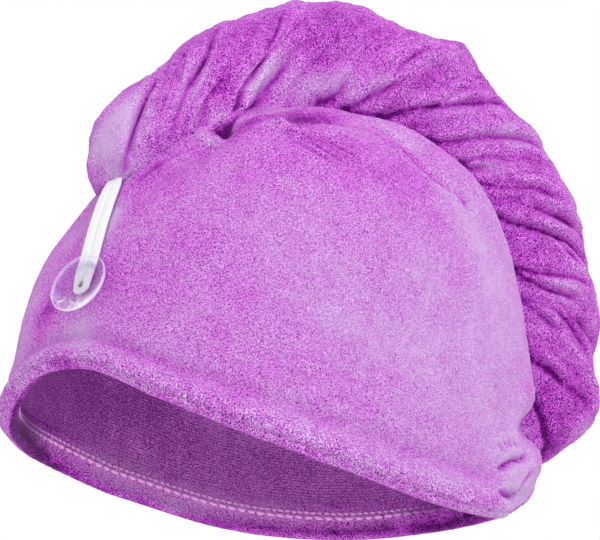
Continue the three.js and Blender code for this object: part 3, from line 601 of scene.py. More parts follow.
def plain_cap(phi, zeta, off):
    c, s = np.cos(phi), np.sin(phi)
    n = FULL_FRONT * np.maximum(c, 0) ** 2 + FULL_BACK * np.maximum(-c, 0) ** 2 \
        + FULL_SIDE * s * s
    rho = np.maximum(0, 1 - zeta ** n) ** (1 / n)
    power = np.where(c > 0, 2 / PLAN_FRONT, 2 / PLAN_BACK)
    reach = np.where(c > 0, FRONT, BACK) + off
    x = CENTRE_X + CROWN_SHIFT * zeta ** 1.5 + reach * signed_power(c, power) * rho
    y = (HALF + off) * signed_power(s, power) * rho
    z = (HEIGHT + off) * zeta + rim_height(phi) * (1 - zeta ** (n / 2)) ** 1.5
    return np.stack([x, y, z], -1)


def cap_frame(phi, zeta):
    """Point of the plain cap, outward direction and height above the rim edge."""
    base = plain_cap(phi, zeta, 0.0)
    outward = unit(plain_cap(phi, zeta, 1.0) - base)
    return base, outward, base[..., 2] - rim_height(phi) * (1 - zeta) ** 1.5


def cap_point(phi, zeta, table=CAP_FOLDS):
    base, outward, above = cap_frame(phi, zeta)
    lift = spots(base, table) + hump(above, 5, 4, 0.9) - hump(above, HEM_WIDTH, 3.2, 1.3)
    return base + outward * lift[..., None]


def cap_normal(phi, zeta):
    e = 0.004
    a = cap_point(phi + e, zeta) - cap_point(phi - e, zeta)
    b = cap_point(phi, zeta + e) - cap_point(phi, zeta - e)
    return unit(np.cross(a, b))


# Mesh tools.
def grid_faces(rings, around):
    i = np.arange(rings - 1)[:, None]
    j = np.arange(around)[None, :]
    k = (j + 1) % around
    a, b = i * around + j, i * around + k
    return np.stack([a, b, b + around, a + around], -1).reshape(-1, 4)


def tube_faces(rings, around):
    """Quads of a closed tube and the fans over the two pole points that follow its rings."""
    pole, end = rings * around, (rings - 1) * around
    j = np.arange(around)
    k = (j + 1) % around
    fans = np.concatenate([
        np.stack([np.full_like(j, pole), k, j], -1),
        np.stack([end + j, end + k, np.full_like(j, pole + 1)], -1),
    ])
    return grid_faces(rings, around), fans


def add_object(name, data):
    obj = bpy.data.objects.new(name, data)
    bpy.context.scene.collection.objects.link(obj)
    return obj


def make_mesh(name, verts, quads, fans=()):
    mesh = bpy.data.meshes.new(name)
    faces = [tuple(int(i) for i in f) for part in (quads, fans) for f in part]
    mesh.from_pydata((np.asarray(verts) * MM).tolist(), [], faces)
    mesh.update()
    mesh.shade_smooth()
    return add_object(name, mesh)


def face_out(mesh):
    """Turns the faces of a closed mesh outward."""
    co = np.zeros(len(mesh.vertices) * 3)
    mesh.vertices.foreach_get("co", co)
    mesh.calc_loop_triangles()
    tri = np.zeros(len(mesh.loop_triangles) * 3, np.int32)
    mesh.loop_triangles.foreach_get("vertices", tri)
    a, b, c = np.moveaxis(co.reshape(-1, 3)[tri.reshape(-1, 3)], 1, 0)
    if np.einsum("ij,ij->i", a, np.cross(b, c)).sum() < 0:
        mesh.flip_normals()


def closed_mesh(name, verts, quads, fans):
    obj = make_mesh(name, verts, quads, fans)
    face_out(obj.data)
    return obj


def closed_tube(name, verts, around):
    """Closed body of rings of vertices, the last two vertices being its poles."""
    return closed_mesh(name, verts, *tube_faces((len(verts) - 2) // around, around))


def set_uv(obj, across, along, poles):
    """Distances across and along at each vertex, and along at the two poles, in millimetres."""
    uv = np.stack(np.broadcast_arrays(across, along), -1).reshape(-1, 2)
    uv = np.concatenate([uv, [[0, pole] for pole in poles]])
    layer = obj.data.uv_layers.new(name="UVMap")
    corner = np.zeros(len(obj.data.loops), np.int32)
    obj.data.loops.foreach_get("vertex_index", corner)
    layer.data.foreach_set("uv", (uv[corner] * MM).astype(np.float32).ravel())


def set_nap_and_shading(obj, nap_and_shading, thread, dark):
    """How pale the pile is, with painted light and shade in it, and how much thread shows at each
    vertex, and the painted shade of the creases at each vertex but the poles."""
    rgba = np.ones((len(nap_and_shading), 4), np.float32)
    rgba[:, 0] = np.clip(nap_and_shading, 0, 1)
    rgba[:, 1] = thread
    rgba[:, 2] = np.clip(np.append(dark, (0, 0)), -DARK_RANGE, DARK_RANGE) / DARK_RANGE / 2 + 0.5
    layer = obj.data.color_attributes.new("NapAndShading", "FLOAT_COLOR", "POINT")
    layer.data.foreach_set("color", rgba.ravel())


def surface_tree(grid):
    """Search tree of a surface given by rings of points, its normals pointing outward."""
    verts = [Vector(v) for v in grid.reshape(-1, 3)]
    faces = [tuple(int(i) for i in f) for f in grid_faces(len(grid), grid.shape[1])]
    tree = BVHTree.FromPolygons(verts, faces)
    if tree.find_nearest(Vector((0, -200, 60)))[1].y > 0:
        tree = BVHTree.FromPolygons(verts, [f[::-1] for f in faces])
    return tree


def heights(tree, verts):
    """Each vertex with its place over the surface: nearest point, normal and height."""
    for i, v in enumerate(verts):
        v = Vector(v)
        near, normal, _, _ = tree.find_nearest(v)
        if near is not None:
            yield i, v, near, normal, (v - near).dot(normal)


def declare(obj, node, material):
    obj.data.materials.append(material)
    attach(obj, "root")
    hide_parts(node)


# Cap mesh: outer rings from the crown down, the roll round the rim, inner rings back up.
CAP_AROUND = 460
CAP_OUT, CAP_ROLL, CAP_IN = 164, 12, 40
CAP_PHI = close_set(circle(CAP_AROUND), math.radians(292), 0.36)

# Size of the smallest ring at the crown, and how far the roll hangs below the rim's surface.
CROWN_RING, RIM_ROUND = 0.021, 2.6

# Hem outside: middle above the rim edge, half width and height of its roll and its valley, and
# the same of the shade in the valley. They fade out about the lobe by the tail.
HEM_ROLL, HEM_VALLEY, HEM_SHADE = (5.0, 4.2, 1.7), (12.3, 2.9, -1.8), (12.6, 1.7, 0.2)
LOBE, LOBE_REACH = (80, -52, 6), 20

# Hem inside: middle and half width of the band of thread, and the places where its colour fades
# out as painted shade.
THREAD_BAND = (10.3, 2.5)
THREAD_SHADED_ENDS, THREAD_SHADE_REACH = ((98, 22, 10), (-70, 48, 8)), 18


def build_cap():
    first = math.asin(CROWN_RING) / (math.pi / 2)

    def levels(t):
        return np.sin((first + (1 - first) * t) * np.pi / 2)

    rings, darks = [], []

    def ring(zeta, off, lift_z, folds, hem):
        base, outward, above = cap_frame(CAP_PHI, zeta)
        wavy = 1 + ripple(base, 30, 41, 0.5)
        hem = hem * clear_of(base, LOBE, LOBE_REACH)
        lift = folds * (spots(base, CAP_FOLDS) + spots(base, CAP_DENTS))
        lift += hem * (hump(above, *HEM_ROLL) + hump(above, *HEM_VALLEY) * wavy)
        lift += ripple(base, 26, 3, 1.0) + ripple(base, 9, 4, 0.4)
        sharp, dark = lines(base + outward * lift[..., None], outward, CAP_LINES)
        out = plain_cap(CAP_PHI, zeta, off) + outward * (lift + folds * sharp)[..., None]
        out[:, 2] += lift_z
        rings.append(out)
        # painted shade of the creases and of the hem's valley
        darks.append(dark * folds + hem * hump(above, *HEM_SHADE) * wavy)

    t = np.arange(CAP_OUT) / CAP_OUT
    for zeta in levels(t - 0.03 * np.sin(2 * np.pi * t))[::-1]:
        ring(zeta, 0.0, 0.0, 1.0, 1.0)
    for a in np.linspace(0, np.pi, CAP_ROLL):
        ring(0.0, HEM_WALL / 2 * (math.cos(a) - 1), RIM_ROUND * (1 - math.sin(a)) - 0.001,
             1.0, 0.45 * max(0.0, math.cos(a)))
    for zeta in levels(1 - (1 - np.arange(CAP_IN) / CAP_IN) ** 1.15):
        step = smooth(zeta * HEIGHT, HEM_WIDTH - 0.7, HEM_WIDTH + 1.0)
        ring(zeta, -(HEM_WALL + (WALL - HEM_WALL) * step), 0.0, 0.8, 0.0)
    grid = np.array(rings)
    n_out = CAP_OUT + CAP_ROLL // 2
    flat = grid.reshape(-1, 3)
    outward = unit(flat - np.array([CENTRE_X, 0, 50]))
    face = np.ones(len(grid))
    face[n_out:] = 0.35
    grain = ripple(flat, GRAIN_SIZE, 5, GRAIN_HEIGHT) * np.repeat(face, CAP_AROUND)
    flat = flat + outward * grain[:, None]
    top = cap_point(0.0, 1.0)
    verts = np.concatenate([flat, [top, top - [0, 0, WALL]]])
    obj = closed_tube("hood_cloth", verts, CAP_AROUND)
    arc = distances(grid)
    arc = arc[n_out] - arc
    set_uv(obj, CAP_PHI * 90.0, arc, (arc[0, 0], arc[-1, 0]))

    inside = np.zeros(len(verts))
    inside[n_out * CAP_AROUND:len(flat)] = 1
    thread = inside * hump(np.append(-arc, (0, 0)), *THREAD_BAND)
    # the band of thread colour fades into painted shade near the two shaded ends
    for end in THREAD_SHADED_ENDS:
        thread *= clear_of(verts, end, THREAD_SHADE_REACH)
    edge = verts[:, 2] - rim_height(np.arctan2(verts[:, 1], verts[:, 0] - CENTRE_X))
    # Brushed pile in pale and deep patches with painted light and shade among them, and painted
    # shade along the rim edge, outside and inside.
    outer_nap_and_shading = 0.66 + spots(verts, CAP_NAP_AND_SHADING) + ripple(verts, 19, 8, 0.16) \
        + ripple(verts * [1, 1, 2], 7, 9, 0.12) - hump(edge, 0, 2.5, 0.13)
    inner_nap_and_shading = 0.46 + spots(verts, INSIDE_NAP_AND_SHADING) + ripple(verts, 5, 12, 0.3) \
        - hump(edge, 0, 2.6, 0.36)
    dark = np.array(darks).ravel() * (1 - inside[:len(flat)])
    set_nap_and_shading(obj, np.where(inside > 0, inner_nap_and_shading, outer_nap_and_shading), thread, dark)
    band = int(np.argmin(np.abs(-arc[:, 0] - (HEM_WIDTH + 1.5))))
    return obj, grid, n_out, band


# Tail surface.
class Curve:
    """Centripetal spline through points, read by distance along it."""
    STEPS = 40

    def __init__(self, p):
        q = np.vstack([2 * p[0] - p[1], p, 2 * p[-1] - p[-2]])
        out = [p[:1]]
        for i in range(len(p) - 1):
            p0, p1, p2, p3 = q[i:i + 4]
            gaps = [max(np.sqrt(np.linalg.norm(b - a)), 1e-6)
                    for a, b in ((p0, p1), (p1, p2), (p2, p3))]
            t0, t1, t2, t3 = np.cumsum([0.0] + gaps)
            t = np.linspace(t1, t2, self.STEPS + 1)[1:, None]

            def blend(a, b, low, high):
                return (high - t) / (high - low) * a + (t - low) / (high - low) * b

            a1, a2, a3 = blend(p0, p1, t0, t1), blend(p1, p2, t1, t2), blend(p2, p3, t2, t3)
            out.append(blend(blend(a1, a2, t0, t2), blend(a2, a3, t1, t3), t1, t2))
        self.points = np.concatenate(out)
        self.at = distances(self.points)
        self.length = self.at[-1]
        self.stations = self.at[::self.STEPS]
        self.tangents = unit(np.gradient(self.points, self.at, axis=0))

    def read(self, table, s):
        return np.stack([np.interp(s, self.at, table[:, k]) for k in range(3)], -1)

    def point(self, s):
        return self.read(self.points, s)

    def tangent(self, s):
        return unit(self.read(self.tangents, s))


PATH = Curve(TAIL_PATH[:, [0, 2, 1]])
KNOTS = np.array([-90, -28, 40, 70, 100, 150, 240, 332, 400, 430], float)

# Degrees round from the underside to the middle of the outer side, how far the hidden side of
# a crease runs back at most, and how fast it comes to that.
FACE, RUN_BACK, RUN_REACH = 150.0, 58, 60


def crease_knots(row):
    """Distances along at the knots: the hidden side of a crease runs back along the tail."""
    a, b, c, d = row[:4]
    drop = RUN_BACK * d / (d + RUN_REACH)
    e, f = d - drop * 0.55, d - drop
    return [e + (f - e) * 0.33, f, a, b, c, d, e, f, a, b]


ROWS = np.array([[0.0] * 10] + [crease_knots(r) for r in TAIL_CREASES] + [[PATH.length] * 10])
DEPTHS = np.array([0.0] + [r[4] for r in TAIL_CREASES] + [0.0])


def crease_at(row, deg):
    def at(x):
        return np.interp(x, KNOTS, ROWS[row])
    return 0.25 * at(deg - 14) + 0.5 * at(deg) + 0.25 * at(deg + 14)


def station_value(s, column):
    xs, ys = PATH.stations, TAIL_PATH[:, column]
    i = np.clip(np.searchsorted(xs, s) - 1, 0, len(xs) - 2)
    t = np.clip((s - xs[i]) / (xs[i + 1] - xs[i]), 0, 1)
    return ys[i] + (ys[i + 1] - ys[i]) * (0.5 * t + 0.5 * smooth(t, 0, 1))


TAIL_AROUND = 216


def tail_ring(row, u, deg):
    """One slanted ring: points, distance along the path, darkening, place across the folds.
    The darkening is painted shade in the creases and grooves and painted highlight on the ribs.
    """
    low, high = crease_at(row, deg), crease_at(row + 1, deg)
    gap = np.maximum(0.5, high - low)

    def by_creases(before, after):
        return np.exp(-u * gap / before), np.exp(-(1 - u) * gap / after)

    s = np.clip(low + u * (high - low), 0, PATH.length)
    centre, tangent = PATH.point(s), PATH.tangent(s)
    outward = unit(np.stack([tangent[:, 2], 0 * s, -tangent[:, 0]], -1))
    a, b = -np.cos(np.radians(deg)), -np.sin(np.radians(deg))
    radial = np.where(a > 0, station_value(s, 3), station_value(s, 4))
    wobble = 0.75 + 0.5 * noise(np.stack([s, deg * 0.4, 0 * s + row * 9.0], -1), 22, 14)
    deep = DEPTHS[row:row + 2, None] * wobble
    plain = 1 - 0.85 * smooth(deg, 12, 40) * (1 - smooth(deg, 190, 222))
    groove = (deep * by_creases(3.0, 1.6)).sum(0)
    pillow = 0.9 * np.sin(np.pi * u ** 1.25) * np.minimum(1, gap / 14)
    fold = float(crease_at(row, FACE)) * (1 - u) + float(crease_at(row + 1, FACE)) * u
    outer_side = smooth(deg, 60, 115) * (1 - smooth(deg, 245, 300))
    swell = np.interp(fold, TAIL_SWELL[:, 0], TAIL_SWELL[:, 1]) * outer_side
    around = np.stack([0 * deg + fold, -12 * a, -12 * b], -1)
    bent = around + ripple(around, 11, 25, 5.0)[:, None] * [1, 0, 0]
    rib = ripple(bent * [1, 0.45, 0.45], 2.7, 26, 1.0)
    thin = 1 - np.abs(ripple(bent * [1, 0.4, 0.4], 5.5, 27, 2.0))
    thin = smooth(thin, 0.86, 1.0) * (0.3 + 0.7 * noise(around, 9, 28))
    calm = 1 - np.maximum(*by_creases(1.2, 1.2))
    lift = (rib * 0.9 - thin * 0.75) * calm
    scale = 1 + (pillow * (0.4 + 0.6 * plain) + swell - groove * plain + lift) / 22
    p = centre + outward * (a * radial * scale)[:, None]
    p[:, 1] += b * station_value(s, 5) * scale
    # painted shade in the creases and thin grooves, painted highlight on the ribs
    dark = (np.minimum(1, deep / 2.2) * by_creases(1.1, 0.7)).max(0) * 0.55 \
        + np.maximum(*by_creases(4.0, 2.0)) * 0.25
    return p, s, dark * plain + thin * 0.3 * calm - rib * 0.4, 0 * deg + fold


# How deep the tail presses into the cap, and the height from which it is drawn down.
PRESS, PRESS_REACH = 0.6, 6.0


def build_tail(rest):
    deg = np.mod(np.degrees(close_set(circle(TAIL_AROUND), math.radians(105), 0.3)), 360.0)
    got = []
    last_row = len(ROWS) - 2
    for row in range(last_row + 1):
        gap = float(crease_at(row + 1, 100.0) - crease_at(row, 100.0))
        count = max(4, int(round(gap / 0.77)))
        lin = np.arange(count + (row == last_row)) / count
        for value in 0.45 * (0.5 - 0.5 * np.cos(lin * np.pi)) + 0.55 * lin:
            got.append(tail_ring(row, value, deg))
    rings, along, dark, fold = (np.array(part) for part in zip(*got))
    flat = rings.reshape(-1, 3)
    outward = unit(flat - PATH.point(along.ravel()))
    grain = ripple(flat, GRAIN_SIZE, 23, GRAIN_HEIGHT)
    flat = flat + outward * (ripple(flat, 14, 22, 0.9) + spots(flat, TAIL_DENTS))[:, None]
    sharp, shade = lines(flat, outward, TAIL_LINES)
    flat = flat + outward * (grain + sharp)[:, None]
    ends = np.array([0.0, PATH.length])
    verts = np.concatenate([flat, PATH.point(ends) + PATH.tangent(ends) * [[-4.0], [2.5]]])
    # the underside lies on the cap
    for i, v, near, normal, away in heights(rest, verts):
        if away < 0:
            verts[i] = near - normal * PRESS
        elif away < PRESS_REACH:
            far = away / PRESS_REACH
            verts[i] = v - normal * (away * (1 - far ** 2) + PRESS * (1 - far))
    obj = closed_tube("tail_cloth", verts, TAIL_AROUND)
    set_uv(obj, deg * 0.4, fold, ends)
    # brushed pile with painted light and shade among its patches; the darkening is painted crease
    # shade
    nap_and_shading = 0.42 + spots(verts, TAIL_NAP_AND_SHADING) + ripple(verts, 13, 31, 0.3) + ripple(verts, 5, 32, 0.16)
    set_nap_and_shading(obj, nap_and_shading, 0, dark.ravel() + shade)
    return obj


# Elastic loop: two strands side by side, one turn round the button's shank.
# Its broad face looks away from a point inside the cap.
LOOP_AROUND = 16
LOOP_GAP, SHANK_GAP = 0.15, 0.9
CAP_HEART = np.array([-20.0, 0.0, 30.0])


def loop_frame(curve, along):
    s = np.clip(along, 0, curve.length)
    point, tangent = curve.point(s), curve.tangent(s)
    out = point - CAP_HEART
    out = unit(out - tangent * (out * tangent).sum(-1, keepdims=True))
    return point, out, unit(np.cross(tangent, out))


def build_loop(rest):
    line = []
    for degrees, zeta in LOOP_LINE:
        phi = math.radians(degrees)
        line.append(cap_point(phi, zeta)
                    + cap_normal(phi, zeta) * (SEAT + 0.35 + BAND_THICK / 2))
    curve = Curve(np.array(line))
    button = float(np.linalg.norm(line[0] - line[1]))
    side = BAND_WIDTH / 2 + LOOP_GAP
    bend = SHANK_RADIUS + SHANK_GAP
    top = curve.length - 1
    t = np.linspace(0, 1, 90)
    run = top + (button + 5 - top) * t
    out = side + (bend - side) * smooth(t, 0.90, 1.0)
    out = out * (0.3 + 0.7 * smooth(t, 0.02, 0.42))
    turn = np.linspace(0, np.pi, 36)
    plan = np.stack([
        np.concatenate([run, button - 0.55 * bend * np.sin(turn), run[::-1]]),
        np.concatenate([-out, -bend * np.cos(turn), out[::-1]])], -1)
    heading = unit(np.gradient(plan, axis=0))
    ring = circle(LOOP_AROUND)
    w = signed_power(np.cos(ring), 0.55) * BAND_WIDTH / 2
    h = signed_power(np.sin(ring), 0.55) * BAND_THICK / 2
    h = h + 0.12 * np.cos(w / BAND_WIDTH * 2 * np.pi * 3) * (np.sin(ring) > 0.3)
    start = curve.tangent(np.zeros(1))
    rings = []
    for (along, sideways), (da, db) in zip(plan, heading):
        narrow = 0.34 + 0.76 * smooth(top - along, 1, 22) \
            - 0.44 * smooth(-along, -button - 5, -button + 1.5)
        a = along - db * w * narrow
        x = sideways + da * w * narrow
        point, out_dir, across = loop_frame(curve, a)
        rise = 1.1 * smooth(-a, -button - 14, -button)
        rings.append(point + across * x[:, None] + out_dir * (h + rise)[:, None]
                     + start * np.minimum(0, a)[:, None])
    verts = np.concatenate([*rings, [rings[0].mean(0), rings[-1].mean(0)]])
    for i, _, near, normal, away in heights(rest, verts):
        if away < SEAT:
            verts[i] = near + normal * SEAT
    obj = closed_tube("elastic_band", verts, LOOP_AROUND)
    step = distances(plan)
    set_uv(obj, w, step[:, None], step[[0, -1]])
    return obj


def lathe(name, profile, around, place, axis):
    """Closed turned body; the profile starts and ends on the axis."""
    ring = circle(around)
    side = unit(np.cross(axis, [0.0, 0.0, 1.0]))
    other = np.cross(axis, side)
    spin = np.cos(ring)[:, None] * side + np.sin(ring)[:, None] * other
    rings = [place + spin * r + axis * h for r, h in profile[1:-1]]
    poles = [place + axis * profile[k][1] for k in (0, -1)]
    return closed_tube(name, np.concatenate([*rings, poles]), around)


def build_button():
    axis = unit(BUTTON_FACING)
    seat = cap_point(BUTTON_PHI, BUTTON_ZETA)
    r, t = BUTTON_RADIUS, BUTTON_THICK
    arc = np.linspace(-np.pi / 2, np.pi / 2, 15)
    rim = [(r - 1.0 + 1.0 * math.cos(a), t * 0.5 + t * 0.5 * math.sin(a)) for a in arc]
    profile = [(0, 0.0), (2.0, 0.0), (6.0, 0.0), (r - 2.4, 0.02)] + rim + [
        (r - 1.5, t - 0.10), (r - 2.1, t - 0.4), (r - 2.7, t - 0.8), (r - 3.5, t - 1.05),
        (5.5, t - 1.12), (2.0, t - 1.14), (0, t - 1.14)]
    disc = lathe("button_disc", profile, 96, seat + axis * BUTTON_STANDOFF, axis)
    height = BUTTON_STANDOFF - 0.3
    shank = [(0, SEAT)] + [(SHANK_RADIUS - 0.3 - 0.12 * abs(math.sin(k * math.pi / 3)), z)
                           for k, z in enumerate(np.linspace(SEAT, height, 25))] + [(0, height)]
    return disc, lathe("button_stem", shank, 24, seat, axis)


# Stitching: two rows of short slanted stitches round the inner hem.
# columns: height above the edge; spacing; half length; half width; slant
STITCH_ROWS = [
    (9.4, 3.9, 1.6, 0.86, 0.12),
    (11.6, 2.6, 1.1, 0.62, 0.22),
]

# Each stitch is a small ball drawn out along its slant.
BALL_AROUND, BALL_RINGS = 8, 6


def build_stitches(grid, n_out):
    lat = (np.arange(1, BALL_RINGS) / BALL_RINGS - 0.5) * np.pi
    lon = circle(BALL_AROUND)
    ball = np.stack([np.repeat(np.sin(lat), BALL_AROUND),
                     np.outer(np.cos(lat), np.cos(lon)).ravel(),
                     np.outer(np.cos(lat), np.sin(lon)).ravel()], -1)
    ball = np.concatenate([ball, [[-1, 0, 0], [1, 0, 0]]])
    fat = 1 + 0.12 * np.cos(ball[:, :1] * 2 * np.pi)
    ball_quads, ball_fans = tube_faces(BALL_RINGS - 1, BALL_AROUND)
    inner = grid[n_out:]
    rise = distances(inner)

    def level(height):
        return np.array([[np.interp(height, rise[:, j], inner[:, j, k]) for k in range(3)]
                         for j in range(CAP_AROUND)])

    rng = np.random.default_rng(7)
    verts, quads, fans = [], [], []
    for height, spacing, length, width, slant in STITCH_ROWS:
        line = level(height)
        upward = unit(level(height + 1.0) - line)
        loop = np.concatenate([line, line[:1]])
        at = distances(loop)
        count = int(round(at[-1] / spacing))
        for c in range(count):
            s = (c + 0.5 + rng.uniform(-0.05, 0.05)) * at[-1] / count
            j = np.searchsorted(at, s) - 1
            t = (s - at[j]) / (at[j + 1] - at[j])
            here = loop[j] * (1 - t) + loop[j + 1] * t
            run = unit(loop[j + 1] - loop[j])
            up = upward[j % CAP_AROUND]
            inward = unit(np.cross(run, up))
            if inward @ (np.array([CENTRE_X + 10, 0, here[2]]) - here) < 0:
                inward = -inward
            long_axis = unit(run + up * (slant + rng.uniform(-0.07, 0.07)))
            wide_axis = unit(np.cross(inward, long_axis))
            size = rng.uniform(0.92, 1.08)
            base = len(verts) * len(ball)
            verts.append(here + long_axis * (ball[:, :1] * length * size)
                         + wide_axis * (ball[:, 1:2] * width * fat)
                         + inward * (0.12 + ball[:, 2:] * width * 0.8))
            quads.append(ball_quads + base)
            fans.append(ball_fans + base)
    return closed_mesh("hem_stitches", *(np.concatenate(part) for part in (verts, quads, fans)))


# Materials, with coordinates and pitches in metres and noise scales per metre.
class Nodes:
    def __init__(self, name):
        self.mat = bpy.data.materials.new(name)
        self.mat.use_nodes = True
        self.tree = self.mat.node_tree
        self.tree.nodes.clear()
        self.bsdf = self.new("ShaderNodeBsdfPrincipled")
        self.link(self.bsdf.outputs[0], self.new("ShaderNodeOutputMaterial").inputs["Surface"])
        self.coord = self.new("ShaderNodeTexCoord").outputs["Object"]

    def link(self, a, b):
        self.tree.links.new(a, b)

    def new(self, kind, **values):
        node = self.tree.nodes.new(kind)
        for key, value in values.items():
            setattr(node, key, value)
        return node

    def feed(self, node, values):
        for key, value in values.items():
            if hasattr(value, "is_output"):
                self.link(value, node.inputs[key])
            else:
                node.inputs[key].default_value = value

    def math(self, op, *values, clamp=False):
        node = self.new("ShaderNodeMath", operation=op, use_clamp=clamp)
        self.feed(node, dict(enumerate(values)))
        return node.outputs[0]

    def add(self, first, *others, clamp=False):
        """Sum of the values; the clamp is on the last addition."""
        for k, other in enumerate(others):
            first = self.math("ADD", first, other, clamp=clamp and k == len(others) - 1)
        return first

    def times(self, a, b, clamp=False):
        return self.math("MULTIPLY", a, b, clamp=clamp)

    def scaled(self, value, middle, factor, clamp=False):
        return self.times(self.math("SUBTRACT", value, middle), factor, clamp)

    def wave(self, value, pitch):
        return self.math("SINE", self.times(value, 2 * math.pi / pitch))

    def vector(self, op, *values, out="Vector"):
        node = self.new("ShaderNodeVectorMath", operation=op)
        self.feed(node, dict(enumerate(values)))
        return node.outputs[out]

    def noise(self, scale, detail=2.0, rough=0.5, distortion=0.0):
        node = self.new("ShaderNodeTexNoise")
        self.feed(node, {"Vector": self.coord, "Scale": scale, "Detail": detail,
                         "Roughness": rough, "Distortion": distortion})
        return node.outputs["Fac"]

    def cells(self, scale):
        node = self.new("ShaderNodeTexVoronoi")
        self.feed(node, {"Vector": self.coord, "Scale": scale})
        return node.outputs["Distance"]

    def uv(self):
        """Metres across and along."""
        split = self.new("ShaderNodeSeparateXYZ")
        self.feed(split, {0: self.new("ShaderNodeUVMap", uv_map="UVMap").outputs["UV"]})
        return split.outputs["X"], split.outputs["Y"]

    def nap_and_shading(self):
        """The three parts that set_nap_and_shading stored."""
        split = self.new("ShaderNodeSeparateColor")
        self.feed(split, {0: self.new("ShaderNodeVertexColor", layer_name="NapAndShading").outputs["Color"]})
        return split.outputs[0], split.outputs[1], \
            self.scaled(split.outputs[2], 0.5, 2 * DARK_RANGE)

    def ramp(self, fac, *stops):
        """Colour ramp; each stop is its position and its grey or its red, green and blue."""
        node = self.new("ShaderNodeValToRGB")
        self.link(fac, node.inputs["Fac"])
        items = node.color_ramp.elements
        items.remove(items[-1])
        for k, (position, *colour) in enumerate(stops):
            item = items.new(position) if k else items[0]
            item.position = position
            item.color = (*(colour * 3)[:3], 1)
        return node.outputs["Color"]

    def mix(self, fac, a, b):
        node = self.new("ShaderNodeMix", data_type="RGBA")
        self.feed(node, {"Factor": fac, "A": a, "B": b})
        return node.outputs["Result"]

    def paint(self, colour):
        self.link(colour, self.bsdf.inputs["Base Color"])

    def bump(self, height, strength, distance):
        node = self.new("ShaderNodeBump")
        self.feed(node, {"Strength": strength, "Distance": distance, "Height": height})
        self.link(node.outputs["Normal"], self.bsdf.inputs["Normal"])

    def values(self, **sockets):
        self.feed(self.bsdf, {name.replace("_", " "): v for name, v in sockets.items()})


def grainy(m, nap_and_shading, strength, near):
    """Loops of the pile as light and dark points, weaker where the pile is paler, from brushing
    and from painted light in the colour layer.
    """
    grain = m.math("SUBTRACT", m.scaled(m.noise(2100, 0.0), 0.5, 5.0),
                   m.scaled(m.cells(1700), 0.5, 2.4))
    calm = m.times(m.math("SUBTRACT", 1.1, nap_and_shading), 2.3)
    calm = m.math("MAXIMUM", m.add(calm, m.times(near, 0.55)), 0.25)
    amount = m.times(grain, m.times(calm, strength))
    points = m.new("ShaderNodeCombineXYZ")
    for k, share in enumerate((0.26, 0.45, 0.24)):
        m.link(m.math("MULTIPLY_ADD", amount, share, 1.0), points.inputs[k])
    return grain, points.outputs[0]


def plush(name, strength, hem=0.0, shade=0.5):
    """Short dense pile of small loops with dark pits between them, brushed in patches.
    The colour layer adds painted light and shade to the patches, and painted crease shade.
    """
    m = Nodes(name)
    _, along = m.uv()
    near = m.times(m.scaled(along, 0.017, -90.0, True), hem)
    outer = m.math("MULTIPLY_ADD", m.scaled(along, -0.003, 300.0, True), 0.8, 0.2)
    near = m.times(near, outer)
    nap_and_shading, thread, crease = m.nap_and_shading()
    clump = m.noise(330, 2.0, 0.6)
    brush = m.noise(80, 3.0, 0.55, 0.4)
    tone = m.add(nap_and_shading, m.scaled(brush, 0.5, 0.28), m.scaled(clump, 0.5, 0.34),
                 m.times(m.scaled(clump, 0.5, 0.45), near))
    # painted crease shade from the colour layer
    tone = m.math("SUBTRACT", tone, m.times(crease, shade), clamp=True)
    colour = m.ramp(tone, (0.0, 0.13, 0.005, 0.165), (0.1, 0.24, 0.015, 0.29),
                    (0.25, 0.42, 0.050, 0.48), (0.5, 0.55, 0.133, 0.615),
                    (0.75, 0.57, 0.25, 0.65), (1.0, 0.615, 0.385, 0.71))
    colour = m.mix(m.times(thread, 0.78), colour, (0.95, 0.36, 0.93, 1))
    grain, points = grainy(m, nap_and_shading, strength, near)
    m.paint(m.vector("MULTIPLY", colour, points))
    m.bump(m.add(grain, m.times(clump, 3.0)), 0.5, 0.0002)
    m.values(Roughness=0.95, Specular_IOR_Level=0.06, Sheen_Weight=0.26, Sheen_Roughness=0.4,
             Sheen_Tint=(0.92, 0.52, 1.0, 1))
    return m.mat


def knit_back(name):
    """Flat reverse of the cloth inside the cap: close rows of small loops."""
    m = Nodes(name)
    across, along = m.uv()
    nap_and_shading, _, _ = m.nap_and_shading()
    row = m.wave(m.add(along, m.times(m.noise(90), 0.0014)), 0.00115)
    col = m.wave(across, 0.0010)
    loop = m.times(m.add(row, m.times(col, 0.5)), 0.5)
    grain = m.noise(1900, 1.0, 0.6)
    # the colour layer brings painted shade along the rim and at the inside's left end
    tone = m.add(m.scaled(nap_and_shading, 0.46, 1.5), 0.45, m.times(loop, 0.14), m.scaled(grain, 0.5, 4.4),
                 m.scaled(m.noise(45, 3.0), 0.5, 0.16), clamp=True)
    m.paint(m.ramp(tone, (0.0, 0.27, 0.04, 0.32), (0.5, 0.52, 0.12, 0.57),
                   (1.0, 0.70, 0.27, 0.74)))
    m.bump(m.add(loop, m.times(grain, 2.4)), 0.5, 0.0004)
    m.values(Roughness=0.95, Specular_IOR_Level=0.1, Sheen_Weight=0.1)
    return m.mat


def elastic_weave(name):
    """Braided elastic: fine cords along it, crossed by close picks."""
    m = Nodes(name)
    across, along = m.uv()
    weave = m.add(m.times(m.wave(across, 0.00078), 0.6), m.times(m.wave(along, 0.0007), 0.35))
    tone = m.add(0.62, m.times(weave, 0.18), m.scaled(m.noise(700), 0.5, 0.3), clamp=True)
    m.paint(m.ramp(tone, (0.0, 0.74, 0.75, 0.79), (1.0, 0.93, 0.94, 0.96)))
    m.bump(weave, 0.5, 0.00025)
    m.values(Roughness=0.75, Specular_IOR_Level=0.25, Sheen_Weight=0.1)
    return m.mat


